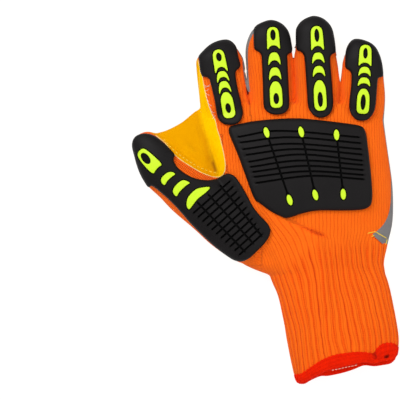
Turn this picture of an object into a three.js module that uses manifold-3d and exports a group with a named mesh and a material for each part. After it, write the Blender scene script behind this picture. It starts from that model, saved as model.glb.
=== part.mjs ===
// Anti-vibration work glove for the right hand, lying palm down and empty.
// Millimetres. +Z is up, the fingers point along +Y and the thumb points along -X.
// The origin is the middle of the glove's footprint, on the surface that it lies on.

import * as THREE from 'three';
import { mergeVertices } from 'three/addons/utils/BufferGeometryUtils.js';
import Module from 'manifold-3d';

const wasm = await Module();
wasm.setup();

// Driving dimensions of the hand, cuff and thumb
const knuckleWidth = 128;
const palmLength = 115.2;
const handHeight = 27;
const fingerLength = 60;
const fingerWidth = 33.8;
const fingerHeight = 19.5;
const cuffLength = 68.7;
const cuffWidth = 77.3;
const cuffHeight = 21;
const cuffTilt = 16.4;
const thumbLength = 104.2;
const thumbWidth = 38.6;
const thumbHeight = 23;
const thumbAngle = 145;
const webHeight = 15.5;
const wall = 1.6;
const gap = 0.3;

// The height at which the back meets the palm, all round the glove, and the strips let in there
const seamHeight = 9;
const stripHeight = 5;

// How far a strip reaches round a fingertip, as a share of the finger's width from its axis, and
// how far into the palm, as a share of the palm's length
const stripReach = 0.14;
const crotchShare = 0.06;

// The ribs and the hem of the cuff
const ribCount = 25;
const ribDepth = 0.9;
const hemWidth = 9;
const hemBulge = 0.7;

// The moulded pads, their grooves and their coloured inserts
const padThickness = 3.4;
const backPadThickness = 4;
const padCapWidth = 27.6;
const padNeckWidth = 17.2;
const padEndRadius = 7;
const padEdge = 2.2;
const insertRise = 1;
const insertWidth = 8.4;
const studLength = 7;
const studWidth = 4;
const studLean = 10;
const grooveWidth = 1.2;
const grooveDepth = 1.1;
const grooveCount = 9;
const treadCount = 4;

// The rounding of a soft tube's section: a higher number is a squarer corner
const topRoundness = 2.3;
const bottomRoundness = 3;
const bottomFlatness = 1.08;
const fingerSides = 12;
const handSides = 20;
const fingerLiningSides = 10;
const handLiningSides = 14;
const reach = 2 * (palmLength + cuffLength + knuckleWidth);

// Fingers. Across is the place of the axis in shares of the knuckle width, length and width are
// shares of the longest finger's, and in each row along is a share of the finger's own length, and
// left and right are shares of its own width from the axis
const fingers = [
  {
    name: 'index', across: -0.374, length: 0.733, width: 1,
    padTop: { along: 0.837, across: -0.112 }, padEnd: { along: -0.235, across: 0.143 },
    rows: [
      { along: -0.3, left: 0.46, right: 0.5 },
      { along: 0.08, left: 0.48, right: 0.52 },
      { along: 0.52, left: 0.54, right: 0.455 },
      { along: 0.7, left: 0.535, right: 0.39 },
      { along: 0.83, left: 0.4, right: 0.327 },
      { along: 0.91, left: 0.28, right: 0.265 },
      { along: 1, left: 0.02, right: 0.1 },
    ],
  },
  {
    name: 'middle', across: -0.12, length: 0.955, width: 1,
    padTop: { along: 0.916, across: 0.051 }, padEnd: { along: -0.059, across: 0.137 },
    rows: [
      { along: -0.25, left: 0.44, right: 0.48 },
      { along: 0.04, left: 0.43, right: 0.49 },
      { along: 0.52, left: 0.495, right: 0.468 },
      { along: 0.72, left: 0.486, right: 0.435 },
      { along: 0.867, left: 0.408, right: 0.367 },
      { along: 0.934, left: 0.306, right: 0.286 },
      { along: 0.982, left: 0.184, right: 0.163 },
      { along: 1, left: 0.08, right: 0.06 },
    ],
  },
  {
    name: 'ring', across: 0.13, length: 1, width: 0.95,
    padTop: { along: 0.885, across: -0.004 }, padEnd: { along: -0.089, across: 0.092 },
    rows: [
      { along: -0.25, left: 0.46, right: 0.48 },
      { along: 0.06, left: 0.447, right: 0.492 },
      { along: 0.5, left: 0.467, right: 0.445 },
      { along: 0.69, left: 0.441, right: 0.398 },
      { along: 0.84, left: 0.43, right: 0.346 },
      { along: 0.916, left: 0.366, right: 0.273 },
      { along: 0.968, left: 0.247, right: 0.161 },
      { along: 1, left: 0.12, right: 0.02 },
    ],
  },
  {
    name: 'little', across: 0.381, length: 0.743, width: 0.9,
    padTop: { along: 0.901, across: 0.064 }, padEnd: { along: -0.169, across: -0.011 },
    rows: [
      { along: -0.3, left: 0.5, right: 0.47 },
      { along: 0.05, left: 0.5, right: 0.491 },
      { along: 0.36, left: 0.485, right: 0.461 },
      { along: 0.64, left: 0.455, right: 0.427 },
      { along: 0.85, left: 0.364, right: 0.311 },
      { along: 0.93, left: 0.295, right: 0.193 },
      { along: 0.975, left: 0.227, right: 0.06 },
      { along: 1, left: 0.17, right: -0.06 },
    ],
  },
];

// Hand: along is a share of the palm's length from the knuckles to the wrist, left and right are
// shares of the knuckle width from the middle line, and height is a share of the hand's height
const handRows = [
  { along: 0, left: 0.495, right: 0.495, height: 0.62 },
  { along: 0.1, left: 0.492, right: 0.492, height: 0.8 },
  { along: 0.28, left: 0.465, right: 0.515, height: 0.95 },
  { along: 0.5, left: 0.43, right: 0.5375, height: 1 },
  { along: 0.7, left: 0.38, right: 0.5375, height: 0.97 },
  { along: 0.84, left: 0.325, right: 0.513, height: 0.9 },
  { along: 0.95, left: 0.25, right: 0.495, height: 0.82 },
  { along: 1.03, left: 0.13, right: 0.49, height: 0.76 },
];

// Thumb: along is a share of its length from the root to the tip, and lower and upper are shares
// of its width from its axis, lower towards the wrist and upper towards the index finger
const thumbRows = [
  { along: -0.12, lower: 0.45, upper: 0.4 },
  { along: 0, lower: 0.535, upper: 0.46 },
  { along: 0.17, lower: 0.54, upper: 0.535 },
  { along: 0.33, lower: 0.486, upper: 0.535 },
  { along: 0.51, lower: 0.44, upper: 0.52 },
  { along: 0.63, lower: 0.375, upper: 0.535 },
  { along: 0.77, lower: 0.31, upper: 0.55 },
  { along: 0.88, lower: 0.134, upper: 0.535 },
  { along: 0.95, lower: -0.02, upper: 0.48 },
  { along: 0.99, lower: -0.05, upper: 0.36 },
  { along: 1, lower: -0.14, upper: 0.29 },
];
const thumbRootAcross = -0.226;
const thumbRootAlong = 0.792;

// Cuff: along is a share of its length from the wrist to its mouth, shift and half are shares of
// its width, and tilt is a share of the mouth's tilt
const cuffRows = [
  { along: -0.12, shift: -0.01, half: 0.48, tilt: 0.08, height: 0.98 },
  { along: 0.06, shift: 0.036, half: 0.513, tilt: 0.1, height: 1 },
  { along: 0.27, shift: 0.103, half: 0.5, tilt: 0.16, height: 1 },
  { along: 0.73, shift: 0.178, half: 0.494, tilt: 0.45, height: 0.92 },
  { along: 1, shift: 0.217, half: 0.458, tilt: 1, height: 0.82 },
];
const cuffAcross = 0.171;

// Web of the thumb: the outer and the inner end of each section, from the thumb to the index finger
const webThumbRows = [
  { outer: { along: 0.93, across: 0.45 }, inner: { along: 0.71, across: 0.3 } },
  { outer: { along: 0.86, across: 0.657 }, inner: { along: 0.57, across: 0.307 } },
  { outer: { along: 0.8, across: 0.964 }, inner: { along: 0.45, across: 0.345 } },
];
const webHandRows = [
  { outer: { along: 0.03, across: -0.492 }, inner: { along: 0.37, across: -0.38 } },
  { outer: { along: 0.06, across: -0.4 }, inner: { along: 0.28, across: -0.31 } },
];

// Thumb pad, with its rows as on the thumb
const thumbPadRows = [
  { along: 0.993, lower: -0.14, upper: 0.24 },
  { along: 0.96, lower: -0.03, upper: 0.4 },
  { along: 0.87, lower: 0.15, upper: 0.47 },
  { along: 0.79, lower: 0.255, upper: 0.455 },
  { along: 0.735, lower: 0.33, upper: 0.42 },
  { along: 0.7, lower: 0.29, upper: 0.32 },
  { along: 0.65, lower: 0.285, upper: 0.235 },
  { along: 0.58, lower: 0.305, upper: 0.221 },
  { along: 0.5, lower: 0.35, upper: 0.265 },
  { along: 0.42, lower: 0.4, upper: 0.41 },
  { along: 0.37, lower: 0.435, upper: 0.62 },
  { along: 0.32, lower: 0.455, upper: 0.7 },
  { along: 0.27, lower: 0.48, upper: 0.67 },
  { along: 0.19, lower: 0.515, upper: 0.57 },
  { along: 0.09, lower: 0.535, upper: 0.43 },
  { along: 0, lower: 0.52, upper: 0.37 },
  { along: -0.07, lower: 0.42, upper: 0.31 },
  { along: -0.1, lower: 0.15, upper: 0.15 },
];

// Back pad: its corners and bends, in shares of the knuckle width and of the palm's length
const backPadPoints = [
  { across: -0.341, along: 0.148 },
  { across: -0.282, along: 0.127 },
  { across: -0.136, along: 0.102 },
  { across: -0.012, along: 0.093 },
  { across: 0.172, along: 0.108 },
  { across: 0.372, along: 0.135 },
  { across: 0.395, along: 0.175 },
  { across: 0.419, along: 0.393 },
  { across: 0.429, along: 0.55 },
  { across: 0.418, along: 0.62 },
  { across: 0.36, along: 0.64 },
  { across: 0.142, along: 0.639 },
  { across: 0.065, along: 0.653 },
  { across: -0.029, along: 0.69 },
  { across: -0.12, along: 0.645 },
  { across: -0.201, along: 0.581 },
  { across: -0.259, along: 0.41 },
  { across: -0.298, along: 0.29 },
  { across: -0.34, along: 0.19 },
];
const backStuds = [
  { name: 'upper_left', across: -0.14, along: 0.177 },
  { name: 'upper_middle', across: 0.047, along: 0.174 },
  { name: 'upper_right', across: 0.237, along: 0.192 },
  { name: 'lower_left', across: -0.016, along: 0.581 },
  { name: 'lower_middle', across: 0.122, along: 0.551 },
  { name: 'lower_right', across: 0.273, along: 0.547 },
];

// The first and the last of the back pad's arched grooves: both ends and the crown between them
const firstGroove = [
  { across: -0.289, along: 0.204 },
  { across: -0.061, along: 0.168 },
  { across: 0.357, along: 0.206 },
];
const lastGroove = [
  { across: -0.1935, along: 0.479 },
  { across: 0.095, along: 0.437 },
  { across: 0.381, along: 0.458 },
];

// The thumb pad's long grooves and its first and last cross grooves, in shares of the thumb
const thumbTreads = {
  long: [
    [{ along: 0.355, across: 0.425 }, { along: -0.05, across: 0.104 }],
    [{ along: 0.384, across: 0.164 }, { along: -0.04, across: -0.118 }],
    [{ along: 0.4, across: -0.13 }, { along: -0.04, across: -0.355 }],
  ],
  first: [{ along: 0.39, across: -0.277 }, { along: 0.31, across: 0.596 }],
  last: [{ along: 0.02, across: -0.377 }, { along: -0.055, across: 0.114 }],
};

// The leather that shows from above: it wraps the index finger's side and the web of the thumb
const leatherEdge = [
  { across: -0.498, along: -0.21 },
  { across: -0.484, along: -0.157 },
  { across: -0.466, along: -0.054 },
  { across: -0.433, along: 0.066 },
  { across: -0.403, along: 0.162 },
  { across: -0.374, along: 0.281 },
  { across: -0.363, along: 0.4 },
  { across: -0.403, along: 0.443 },
  { across: -0.498, along: 0.413 },
  { across: -0.605, along: 0.338 },
  { across: -0.686, along: 0.24 },
  { across: -0.74, along: 0.192 },
  { across: -0.8, along: 0.166 },
];

// The line where the thumb's leather is let into the palm's
const thumbSeam = [
  { across: -0.5, along: 0 },
  { across: -0.476, along: 0.15 },
  { across: -0.438, along: 0.281 },
  { across: -0.4, along: 0.42 },
  { across: -0.347, along: 0.61 },
  { across: -0.304, along: 0.79 },
  { across: -0.304, along: 1.1 },
];

// The wedge in which the side strip widens on to the back near the wrist
const wedgeEdge = [
  { across: 0.53, along: 0.48 },
  { across: 0.527, along: 0.58 },
  { across: 0.517, along: 0.66 },
  { across: 0.494, along: 0.71 },
  { across: 0.44, along: 0.785 },
  { across: 0.482, along: 0.835 },
  { across: 0.62, along: 0.84 },
  { across: 0.62, along: 0.48 },
];

// Finishes
const finishes = {
  knit: new THREE.MeshStandardMaterial({ color: 0xff671a, roughness: 0.95, metalness: 0 }),
  hem: new THREE.MeshStandardMaterial({ color: 0xe41900, roughness: 0.9, metalness: 0 }),
  leather: new THREE.MeshStandardMaterial({ color: 0xfbbc00, roughness: 0.7, metalness: 0 }),
  strip: new THREE.MeshStandardMaterial({ color: 0x807e7d, roughness: 0.9, metalness: 0 }),
  pad: new THREE.MeshStandardMaterial({ color: 0x232024, roughness: 0.5, metalness: 0 }),
  insert: new THREE.MeshStandardMaterial({ color: 0xcdf037, roughness: 0.45, metalness: 0 }),
};

// Places on the hand, on a finger and on the thumb, seen from above

function handPoint({ across, along }) {
  return new THREE.Vector2(across * knuckleWidth, -along * palmLength);
}

function fingerPoint(finger, { across, along }, grow = 0) {
  const root = handPoint({ across: finger.across, along: 0 });
  const length = finger.length * fingerLength + grow;
  return root.add(new THREE.Vector2(across * finger.width * fingerWidth, along * length));
}

function thumbPoint({ across, along }, grow = 0) {
  const angle = THREE.MathUtils.degToRad(thumbAngle);
  const outward = new THREE.Vector2(Math.cos(angle), Math.sin(angle));
  const sideways = new THREE.Vector2(outward.y, -outward.x);
  return handPoint({ across: thumbRootAcross, along: thumbRootAlong })
    .addScaledVector(outward, along * (thumbLength + grow))
    .addScaledVector(sideways, across * thumbWidth);
}

// Solids from closed meshes, whichever way their faces were wound

function solid(geometry) {
  geometry.deleteAttribute('normal');
  geometry.deleteAttribute('uv');
  const merged = mergeVertices(geometry, 1e-5);
  const vertProperties = new Float32Array(merged.attributes.position.array);
  const triVerts = new Uint32Array(merged.index.array);
  const body = new wasm.Manifold(new wasm.Mesh({ numProp: 3, vertProperties, triVerts }));
  if (body.volume() > 0) return body;
  return new wasm.Manifold(new wasm.Mesh({ numProp: 3, vertProperties, triVerts: triVerts.reverse() }));
}

function union(solids) {
  return solids.reduce((all, one) => all.add(one));
}

// The biggest body of a cut piece, without the crumbs that a cut leaves
function mainBody(piece) {
  return piece.decompose().reduce((best, one) => (one.volume() > best.volume() ? one : best));
}

function loft(rings) {
  const sides = rings[0].length;
  const positions = rings.flat().flatMap((point) => point.toArray());
  const faces = [];
  for (let ring = 0; ring + 1 < rings.length; ring += 1) {
    for (let side = 0; side < sides; side += 1) {
      const a = ring * sides + side;
      const b = ring * sides + ((side + 1) % sides);
      faces.push(a, b, a + sides, b, b + sides, a + sides);
    }
  }
  [0, rings.length - 1].forEach((ring) => {
    const middle = new THREE.Vector3();
    rings[ring].forEach((point) => middle.addScaledVector(point, 1 / sides));
    const centre = positions.length / 3;
    positions.push(...middle.toArray());
    for (let side = 0; side < sides; side += 1) {
      const a = ring * sides + side;
      const b = ring * sides + ((side + 1) % sides);
      faces.push(...(ring ? [a, b, centre] : [b, a, centre]));
    }
  });
  const geometry = new THREE.BufferGeometry();
  geometry.setAttribute('position', new THREE.Float32BufferAttribute(positions, 3));
  geometry.setIndex(faces);
  return solid(geometry);
}

function prism(outline, bottom = -reach, top = reach) {
  const depth = top - bottom;
  const geometry = new THREE.ExtrudeGeometry(new THREE.Shape(outline), { depth, bevelEnabled: false });
  return solid(geometry.translate(0, 0, bottom));
}

function curve(points, closed, count) {
  const path = points.map((point) => new THREE.Vector3(point.x, point.y, 0));
  const spline = new THREE.CatmullRomCurve3(path, closed, 'centripetal');
  const spaced = spline.getSpacedPoints(count);
  if (closed) spaced.pop();
  return spaced.map((point) => new THREE.Vector2(point.x, point.y));
}

// The outline moved outwards by a distance, with its corners mitred
function grown(outline, distance) {
  const turn = THREE.ShapeUtils.isClockWise(outline) ? -1 : 1;
  return outline.map((point, i) => {
    const before = outline[(i + outline.length - 1) % outline.length];
    const after = outline[(i + 1) % outline.length];
    const arriving = point.clone().sub(before).normalize();
    const leaving = after.clone().sub(point).normalize();
    const bisector = arriving.clone().add(leaving).normalize();
    const normal = new THREE.Vector2(bisector.y, -bisector.x);
    const spread = Math.max(0.5, Math.abs(bisector.dot(arriving)));
    return point.clone().addScaledVector(normal, (turn * distance) / spread);
  });
}

// One section of a soft tube between two points at the seam's height

function sectionRing({ left, right, top, bottom }, grow, sides, ripple = 0) {
  const ring = [];
  const middle = left.clone().add(right).multiplyScalar(0.5);
  const toRight = right.clone().sub(left).normalize();
  for (let side = 0; side < sides; side += 1) {
    const turn = (2 * Math.PI * side) / sides;
    const out = grow + (side % 2 ? -ripple : ripple);
    const half = Math.max(0.4, 0.5 * left.distanceTo(right) + out);
    const roundness = Math.sin(turn) < 0 ? bottomRoundness : topRoundness;
    const across = Math.sign(Math.cos(turn)) * Math.abs(Math.cos(turn)) ** (2 / roundness);
    const up = Math.abs(Math.sin(turn)) ** (2 / roundness);
    const rise = Math.max(0.3, top - seamHeight + out) * up;
    const floor = bottom - grow;
    const drop = (seamHeight - floor) * bottomFlatness * up;
    const z = Math.sin(turn) < 0 ? Math.max(floor, seamHeight - drop) : seamHeight + rise;
    const place = middle.clone().addScaledVector(toRight, half * across);
    ring.push(new THREE.Vector3(place.x, place.y, z));
  }
  return ring;
}

// A section that narrows towards a fingertip rises from the surface as it thins
function taperedSection(left, right, height, fullWidth, grow) {
  const fullness = Math.min(1, left.distanceTo(right) / (0.85 * fullWidth)) ** 0.55;
  const top = seamHeight + (height - seamHeight) * fullness;
  const bottom = seamHeight * (1 - fullness);
  return sectionRing({ left, right, top, bottom }, grow, grow < 0 ? fingerLiningSides : fingerSides);
}

// The soft tubes that make the glove, each grown outwards or shrunk inwards

function fingerTube(finger, grow) {
  return loft(finger.rows.map((row) => {
    const left = fingerPoint(finger, { across: -row.left, along: row.along }, grow);
    const right = fingerPoint(finger, { across: row.right, along: row.along }, grow);
    return taperedSection(left, right, fingerHeight, finger.width * fingerWidth, grow);
  }));
}

function thumbTube(grow) {
  return loft(thumbRows.map((row) => {
    const left = thumbPoint({ across: -row.lower, along: row.along }, grow);
    const right = thumbPoint({ across: row.upper, along: row.along }, grow);
    return taperedSection(left, right, thumbHeight, thumbWidth, grow);
  }));
}

function webTube(grow) {
  const rows = [
    ...webThumbRows.map(({ outer, inner }) => [thumbPoint(outer), thumbPoint(inner)]),
    ...webHandRows.map(({ outer, inner }) => [handPoint(outer), handPoint(inner)]),
  ];
  return loft(rows.map(([left, right]) => (
    sectionRing({ left, right, top: webHeight, bottom: 0 }, grow, fingerLiningSides)
  )));
}

function handTube(grow) {
  return loft(handRows.map((row, i) => {
    const left = handPoint({ across: -row.left, along: row.along });
    const right = handPoint({ across: row.right, along: row.along });
    if (i === 0) [left, right].forEach((end) => { end.y += grow; });
    const sides = grow < 0 ? handLiningSides : handSides;
    return sectionRing({ left, right, top: row.height * handHeight, bottom: 0 }, grow, sides);
  }));
}

// The cuff's section at a share of its length, between the rows of its table
function cuffSection(along) {
  const last = cuffRows.length - 2;
  const i = Math.min(last, Math.max(0, cuffRows.findIndex((row) => row.along > along) - 1));
  const next = along >= 1 ? last + 1 : i + 1;
  const from = cuffRows[next - 1];
  const to = cuffRows[next];
  const share = (along - from.along) / (to.along - from.along);
  const at = (name) => THREE.MathUtils.lerp(from[name], to[name], share);
  const tilt = THREE.MathUtils.degToRad(cuffTilt * at('tilt'));
  const toRight = new THREE.Vector2(Math.cos(tilt), Math.sin(tilt));
  const middle = handPoint({ across: cuffAcross, along: 1 })
    .add(new THREE.Vector2(at('shift') * cuffWidth, -along * cuffLength));
  const left = middle.clone().addScaledVector(toRight, -at('half') * cuffWidth);
  const right = middle.clone().addScaledVector(toRight, at('half') * cuffWidth);
  return { left, right, top: at('height') * cuffHeight, bottom: 0 };
}

function cuffTube(grow, end, ripple) {
  const places = cuffRows.map((row) => row.along).filter((along) => along < end - 0.04);
  const sides = ripple ? 2 * ribCount : handLiningSides;
  return loft([...places, end]
    .map((along) => sectionRing(cuffSection(along), grow, sides, ripple)));
}

const hemShare = hemWidth / cuffLength;
const gapShare = gap / cuffLength;

function handBody(grow) {
  return union([
    handTube(grow),
    ...fingers.map((finger) => fingerTube(finger, grow)),
    thumbTube(grow),
    webTube(grow),
  ]);
}

// The whole wall of the glove, open at the cuff's mouth
function gloveWall() {
  const outer = handBody(0).add(cuffTube(0, 1 - hemShare, ribDepth / 2));
  const inner = handBody(-wall).add(cuffTube(-wall, 1, 0));
  return outer.subtract(inner);
}

// The regions that part the wall into knit, leather and strips, each one grown by the gap to cut

function slab(bottom, top) {
  const far = [[-reach, -reach], [reach, -reach], [reach, reach], [-reach, reach]];
  return prism(far.map(([x, y]) => new THREE.Vector2(x, y)), bottom, top);
}

function leatherFlap(margin) {
  const edge = curve(leatherEdge.map(handPoint), false, 18);
  const outside = [
    { across: -1.3, along: 0.166 },
    { across: -1.3, along: -0.6 },
    { across: -0.498, along: -0.6 },
  ].map(handPoint);
  return prism(grown([...edge, ...outside], margin), seamHeight - wall);
}

function thumbRegion(margin) {
  const outside = [{ across: -1.4, along: 1.1 }, { across: -1.4, along: -0.4 }].map(handPoint);
  outside.push(handPoint({ across: -0.5, along: -0.4 }));
  return prism(grown([...thumbSeam.map(handPoint), ...outside], margin));
}

function stripBetween(left, right, margin) {
  const deep = (-crotchShare * palmLength) / fingerLength;
  const far = Math.max(left.length, right.length);
  const outline = [
    [left, stripReach, deep],
    [right, -stripReach, deep],
    [right, -stripReach, far],
    [left, stripReach, far],
  ].map(([finger, across, y]) => fingerPoint(finger, { across, along: y / finger.length }));
  const half = stripHeight / 2 + margin;
  return prism(grown(outline, margin), seamHeight - half, seamHeight + half);
}

function sideStripRegion(margin) {
  const little = fingers[3];
  const outline = [
    fingerPoint(little, { across: stripReach, along: 1.2 }),
    fingerPoint(little, { across: stripReach, along: 0 }),
    handPoint({ across: 0.42, along: 0.2 }),
    handPoint({ across: 0.42, along: 0.8 }),
    handPoint({ across: 0.7, along: 0.8 }),
    fingerPoint(little, { across: 1.4, along: 1.2 }),
  ];
  const half = stripHeight / 2 + margin;
  const band = prism(grown(outline, margin), seamHeight - half, seamHeight + half);
  return band.add(prism(grown(wedgeEdge.map(handPoint), margin), seamHeight - half));
}

const stripNames = ['fourchette_index_middle', 'fourchette_middle_ring', 'fourchette_ring_little'];

function stripRegions(margin) {
  const between = stripNames.map((_, i) => stripBetween(fingers[i], fingers[i + 1], margin));
  return [...between, sideStripRegion(margin)];
}

function belowWrist(margin) {
  const outline = [[-reach, -reach], [reach, -reach], [reach, margin], [-reach, margin]]
    .map(([x, y]) => new THREE.Vector2(x, y - palmLength));
  return prism(outline);
}

const pieces = [];

function addPiece(name, piece, finish) {
  pieces.push({ name, piece: mainBody(piece), finish });
}

function makeShell() {
  const glove = gloveWall();
  const strips = union(stripRegions(gap));
  const above = slab(seamHeight + gap, reach).subtract(leatherFlap(gap));
  const knit = glove.intersect(above.subtract(strips)).subtract(belowWrist(gap));
  const leather = glove.subtract(knitSide()).subtract(strips).subtract(belowWrist(gap));
  addPiece('knit_back', knit, finishes.knit);
  addPiece('knit_cuff', glove.intersect(belowWrist(0)), finishes.knit);
  addPiece('leather_palm', leather.subtract(thumbRegion(gap)), finishes.leather);
  addPiece('leather_thumb', leather.intersect(thumbRegion(0)), finishes.leather);
  stripRegions(0).forEach((region, i) => {
    const name = stripNames[i] ?? 'side_strip';
    addPiece(name, glove.intersect(region).subtract(belowWrist(gap)), finishes.strip);
  });
}

// Everything above the seam that the leather leaves to the knit
function knitSide() {
  return slab(seamHeight, reach).subtract(leatherFlap(0));
}

function makeHem() {
  const start = 1 - hemShare + gapShare;
  const steps = [[start, 0], [start + hemShare / 2, hemBulge], [1, 0]];
  const outer = loft(steps.map(([along, bulge]) => (
    sectionRing({ ...cuffSection(along), bottom: bulge }, bulge, handSides)
  )));
  const inner = loft([start - gapShare, 1 + gapShare].map((along) => (
    sectionRing(cuffSection(along), -wall, handLiningSides)
  )));
  addPiece('cuff_hem', outer.subtract(inner), finishes.hem);
}

// Layers over the glove's back: what lies between two heights above its surface

const bodies = new Map();

function bodyGrown(grow) {
  const key = grow.toFixed(3);
  if (!bodies.has(key)) bodies.set(key, handBody(grow));
  return bodies.get(key);
}

function layer(region, from, to) {
  return region.intersect(bodyGrown(to)).subtract(bodyGrown(from));
}

function padRegion(outline) {
  return prism(outline, seamHeight + padEdge);
}

// A pad and the coloured inserts bonded to its face. Each insert is an outline that may hold a
// hole, through which the pad shows
function makePad(name, region, thickness, inserts, grooves) {
  const top = gap + thickness;
  let pad = layer(region, gap, top);
  inserts.forEach((insert) => {
    let body = layer(padRegion(insert.outline), top + gap, top + gap + insertRise);
    if (insert.hole) body = body.subtract(prism(insert.hole));
    addPiece(`${name}_${insert.name}`, body, finishes.insert);
  });
  grooves.forEach((groove) => {
    pad = pad.subtract(layer(padRegion(groove), top - grooveDepth, top + 1));
  });
  addPiece(`${name}_pad`, pad, finishes.pad);
}

// The outline of a narrow strip along a line of points
function ribbon(points, width) {
  const sides = [1, -1].map((side) => points.map((point, i) => {
    const before = points[Math.max(0, i - 1)];
    const after = points[Math.min(points.length - 1, i + 1)];
    const run = after.clone().sub(before).normalize();
    const normal = new THREE.Vector2(-run.y, run.x);
    return point.clone().addScaledVector(normal, (side * width) / 2);
  }));
  return [...sides[0], ...sides[1].reverse()];
}

function between(from, to, share) {
  return {
    across: THREE.MathUtils.lerp(from.across, to.across, share),
    along: THREE.MathUtils.lerp(from.along, to.along, share),
  };
}

// A frame on a pad: its origin, the unit vector down the pad and the one across it
function padFrame(start, end) {
  const length = start.distanceTo(end);
  const down = end.clone().sub(start).normalize();
  const across = new THREE.Vector2(-down.y, down.x);
  const place = (u, v) => start.clone().addScaledVector(across, u).addScaledVector(down, v);
  return { length, place };
}

function ellipse(place, u, v, halfWidth, halfLength, count) {
  return Array.from({ length: count }, (_, i) => {
    const turn = (2 * Math.PI * i) / count;
    return place(u + halfWidth * Math.cos(turn), v + halfLength * Math.sin(turn));
  });
}

// A loop with a round head and a forked foot, and an oval hole in its head
function forkedRing(name, place, start, end, width) {
  const half = width / 2;
  const fork = 0.16 * (end - start);
  const outline = [
    place(-half, end),
    place(-half * 0.9, start + half * 0.9),
    place(-half * 0.55, start + half * 0.25),
    place(0, start),
    place(half * 0.55, start + half * 0.25),
    place(half * 0.9, start + half * 0.9),
    place(half, end),
    place(half * 0.45, end - fork * 0.8),
    place(0, end - fork),
    place(-half * 0.45, end - fork * 0.8),
  ];
  const middle = start + 0.38 * (end - start);
  return { name, outline, hole: ellipse(place, 0, middle, 0.48 * half, 0.24 * (end - start), 8) };
}

// A bar arched like an arrowhead, with its tips trailing
function chevron(name, place, start, end, width) {
  const half = width / 2;
  const deep = end - start;
  const outline = [
    place(-half, end),
    place(-half * 0.86, start + 0.42 * deep),
    place(-half * 0.4, start + 0.08 * deep),
    place(half * 0.4, start + 0.08 * deep),
    place(half * 0.86, start + 0.42 * deep),
    place(half, end),
    place(half * 0.45, end - 0.27 * deep),
    place(-half * 0.45, end - 0.27 * deep),
  ];
  return { name, outline };
}

// A long loop with two round ends and an oval hole low down
function longRing(name, place, start, end, width) {
  const half = width / 2;
  const bend = (end - start) / 4.4;
  const outline = [];
  const steps = 4;
  for (let step = 0; step <= steps; step += 1) {
    const turn = (Math.PI * step) / steps;
    outline.push(place(-half * Math.cos(turn), end - bend + bend * Math.sin(turn)));
  }
  for (let step = 0; step <= steps; step += 1) {
    const turn = (Math.PI * step) / steps;
    const narrow = 0.86 * half;
    outline.push(place(narrow * Math.cos(turn), start + bend - bend * Math.sin(turn)));
  }
  const middle = start + 0.68 * (end - start);
  return { name, outline, hole: ellipse(place, 0, middle, 0.5 * half, 0.21 * (end - start), 8) };
}

// A finger's pad: a wide cap over the fingertip, a neck and a straight body with a round end
function fingerPadOutline({ length, place }) {
  const cap = padCapWidth / 2;
  const neck = padNeckWidth / 2;
  const shoulder = 0.29 * length;
  const waist = 0.39 * length;
  const end = 1.08 * length;
  const side = [
    [cap * 0.8, -0.25 * length],
    [cap, -0.12 * length],
    [cap, shoulder],
    [neck + 0.45 * (cap - neck), shoulder + 0.35 * (waist - shoulder)],
    [neck, waist],
    [neck, end - padEndRadius],
  ];
  for (let step = 1; step <= 2; step += 1) {
    const turn = (Math.PI / 2) * (step / 3);
    const in_ = neck - padEndRadius * (1 - Math.cos(turn));
    side.push([in_, end - padEndRadius * (1 - Math.sin(turn))]);
  }
  const right = side.map(([u, v]) => place(u, v));
  const left = side.map(([u, v]) => place(-u, v)).reverse();
  return [...right, place(0, end), ...left];
}

// The finger seen from above, which trims its pad to the fingertip
function fingerPlan(finger) {
  const rows = finger.rows.slice(1);
  const left = rows.map((row) => fingerPoint(finger, { across: -row.left, along: row.along }));
  const right = rows.map((row) => fingerPoint(finger, { across: row.right, along: row.along }));
  const back = fingerPoint(finger, { across: 0.6, along: -0.6 });
  const front = fingerPoint(finger, { across: -0.6, along: -0.6 });
  return [front, ...left, ...right.reverse(), back];
}

function makeFingerPad(finger) {
  const frame = padFrame(fingerPoint(finger, finger.padTop), fingerPoint(finger, finger.padEnd));
  const { length, place } = frame;
  const inserts = [
    forkedRing('tip_ring', place, 0, 0.28 * length, insertWidth),
    chevron('upper_chevron', place, 0.32 * length, 0.455 * length, insertWidth),
    chevron('lower_chevron', place, 0.48 * length, 0.615 * length, insertWidth),
    longRing('base_ring', place, 0.65 * length, length, insertWidth),
  ];
  const region = padRegion(fingerPadOutline(frame)).intersect(prism(fingerPlan(finger)));
  makePad(finger.name, region, padThickness, inserts, []);
}

function makeThumbPad() {
  const upper = thumbPadRows.map((row) => thumbPoint({ across: row.upper, along: row.along }));
  const lower = thumbPadRows.map((row) => thumbPoint({ across: -row.lower, along: row.along }));
  const outline = curve([...upper, ...lower.reverse()], true, 32);
  const start = thumbPoint({ across: 0.08, along: 0.93 });
  const end = thumbPoint({ across: 0, along: 0.3 });
  const { length, place } = padFrame(start, end);
  const inserts = [
    forkedRing('tip_ring', place, 0, 0.285 * length, 1.15 * insertWidth),
    chevron('upper_bar', place, 0.36 * length, 0.465 * length, 1.3 * insertWidth),
    chevron('lower_bar', place, 0.52 * length, 0.64 * length, 1.65 * insertWidth),
    chevron('base_block', place, 0.69 * length, 0.84 * length, 2.55 * insertWidth),
  ];
  const grooves = thumbTreads.long.map((ends) => ends.map((end) => thumbPoint(end)));
  for (let tread = 0; tread < treadCount; tread += 1) {
    const share = tread / (treadCount - 1);
    const ends = thumbTreads.first.map((end, i) => between(end, thumbTreads.last[i], share));
    grooves.push(ends.map((end) => thumbPoint(end)));
  }
  const cuts = grooves.map((ends) => ribbon(ends, grooveWidth));
  makePad('thumb', padRegion(outline), padThickness, inserts, cuts);
}

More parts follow.
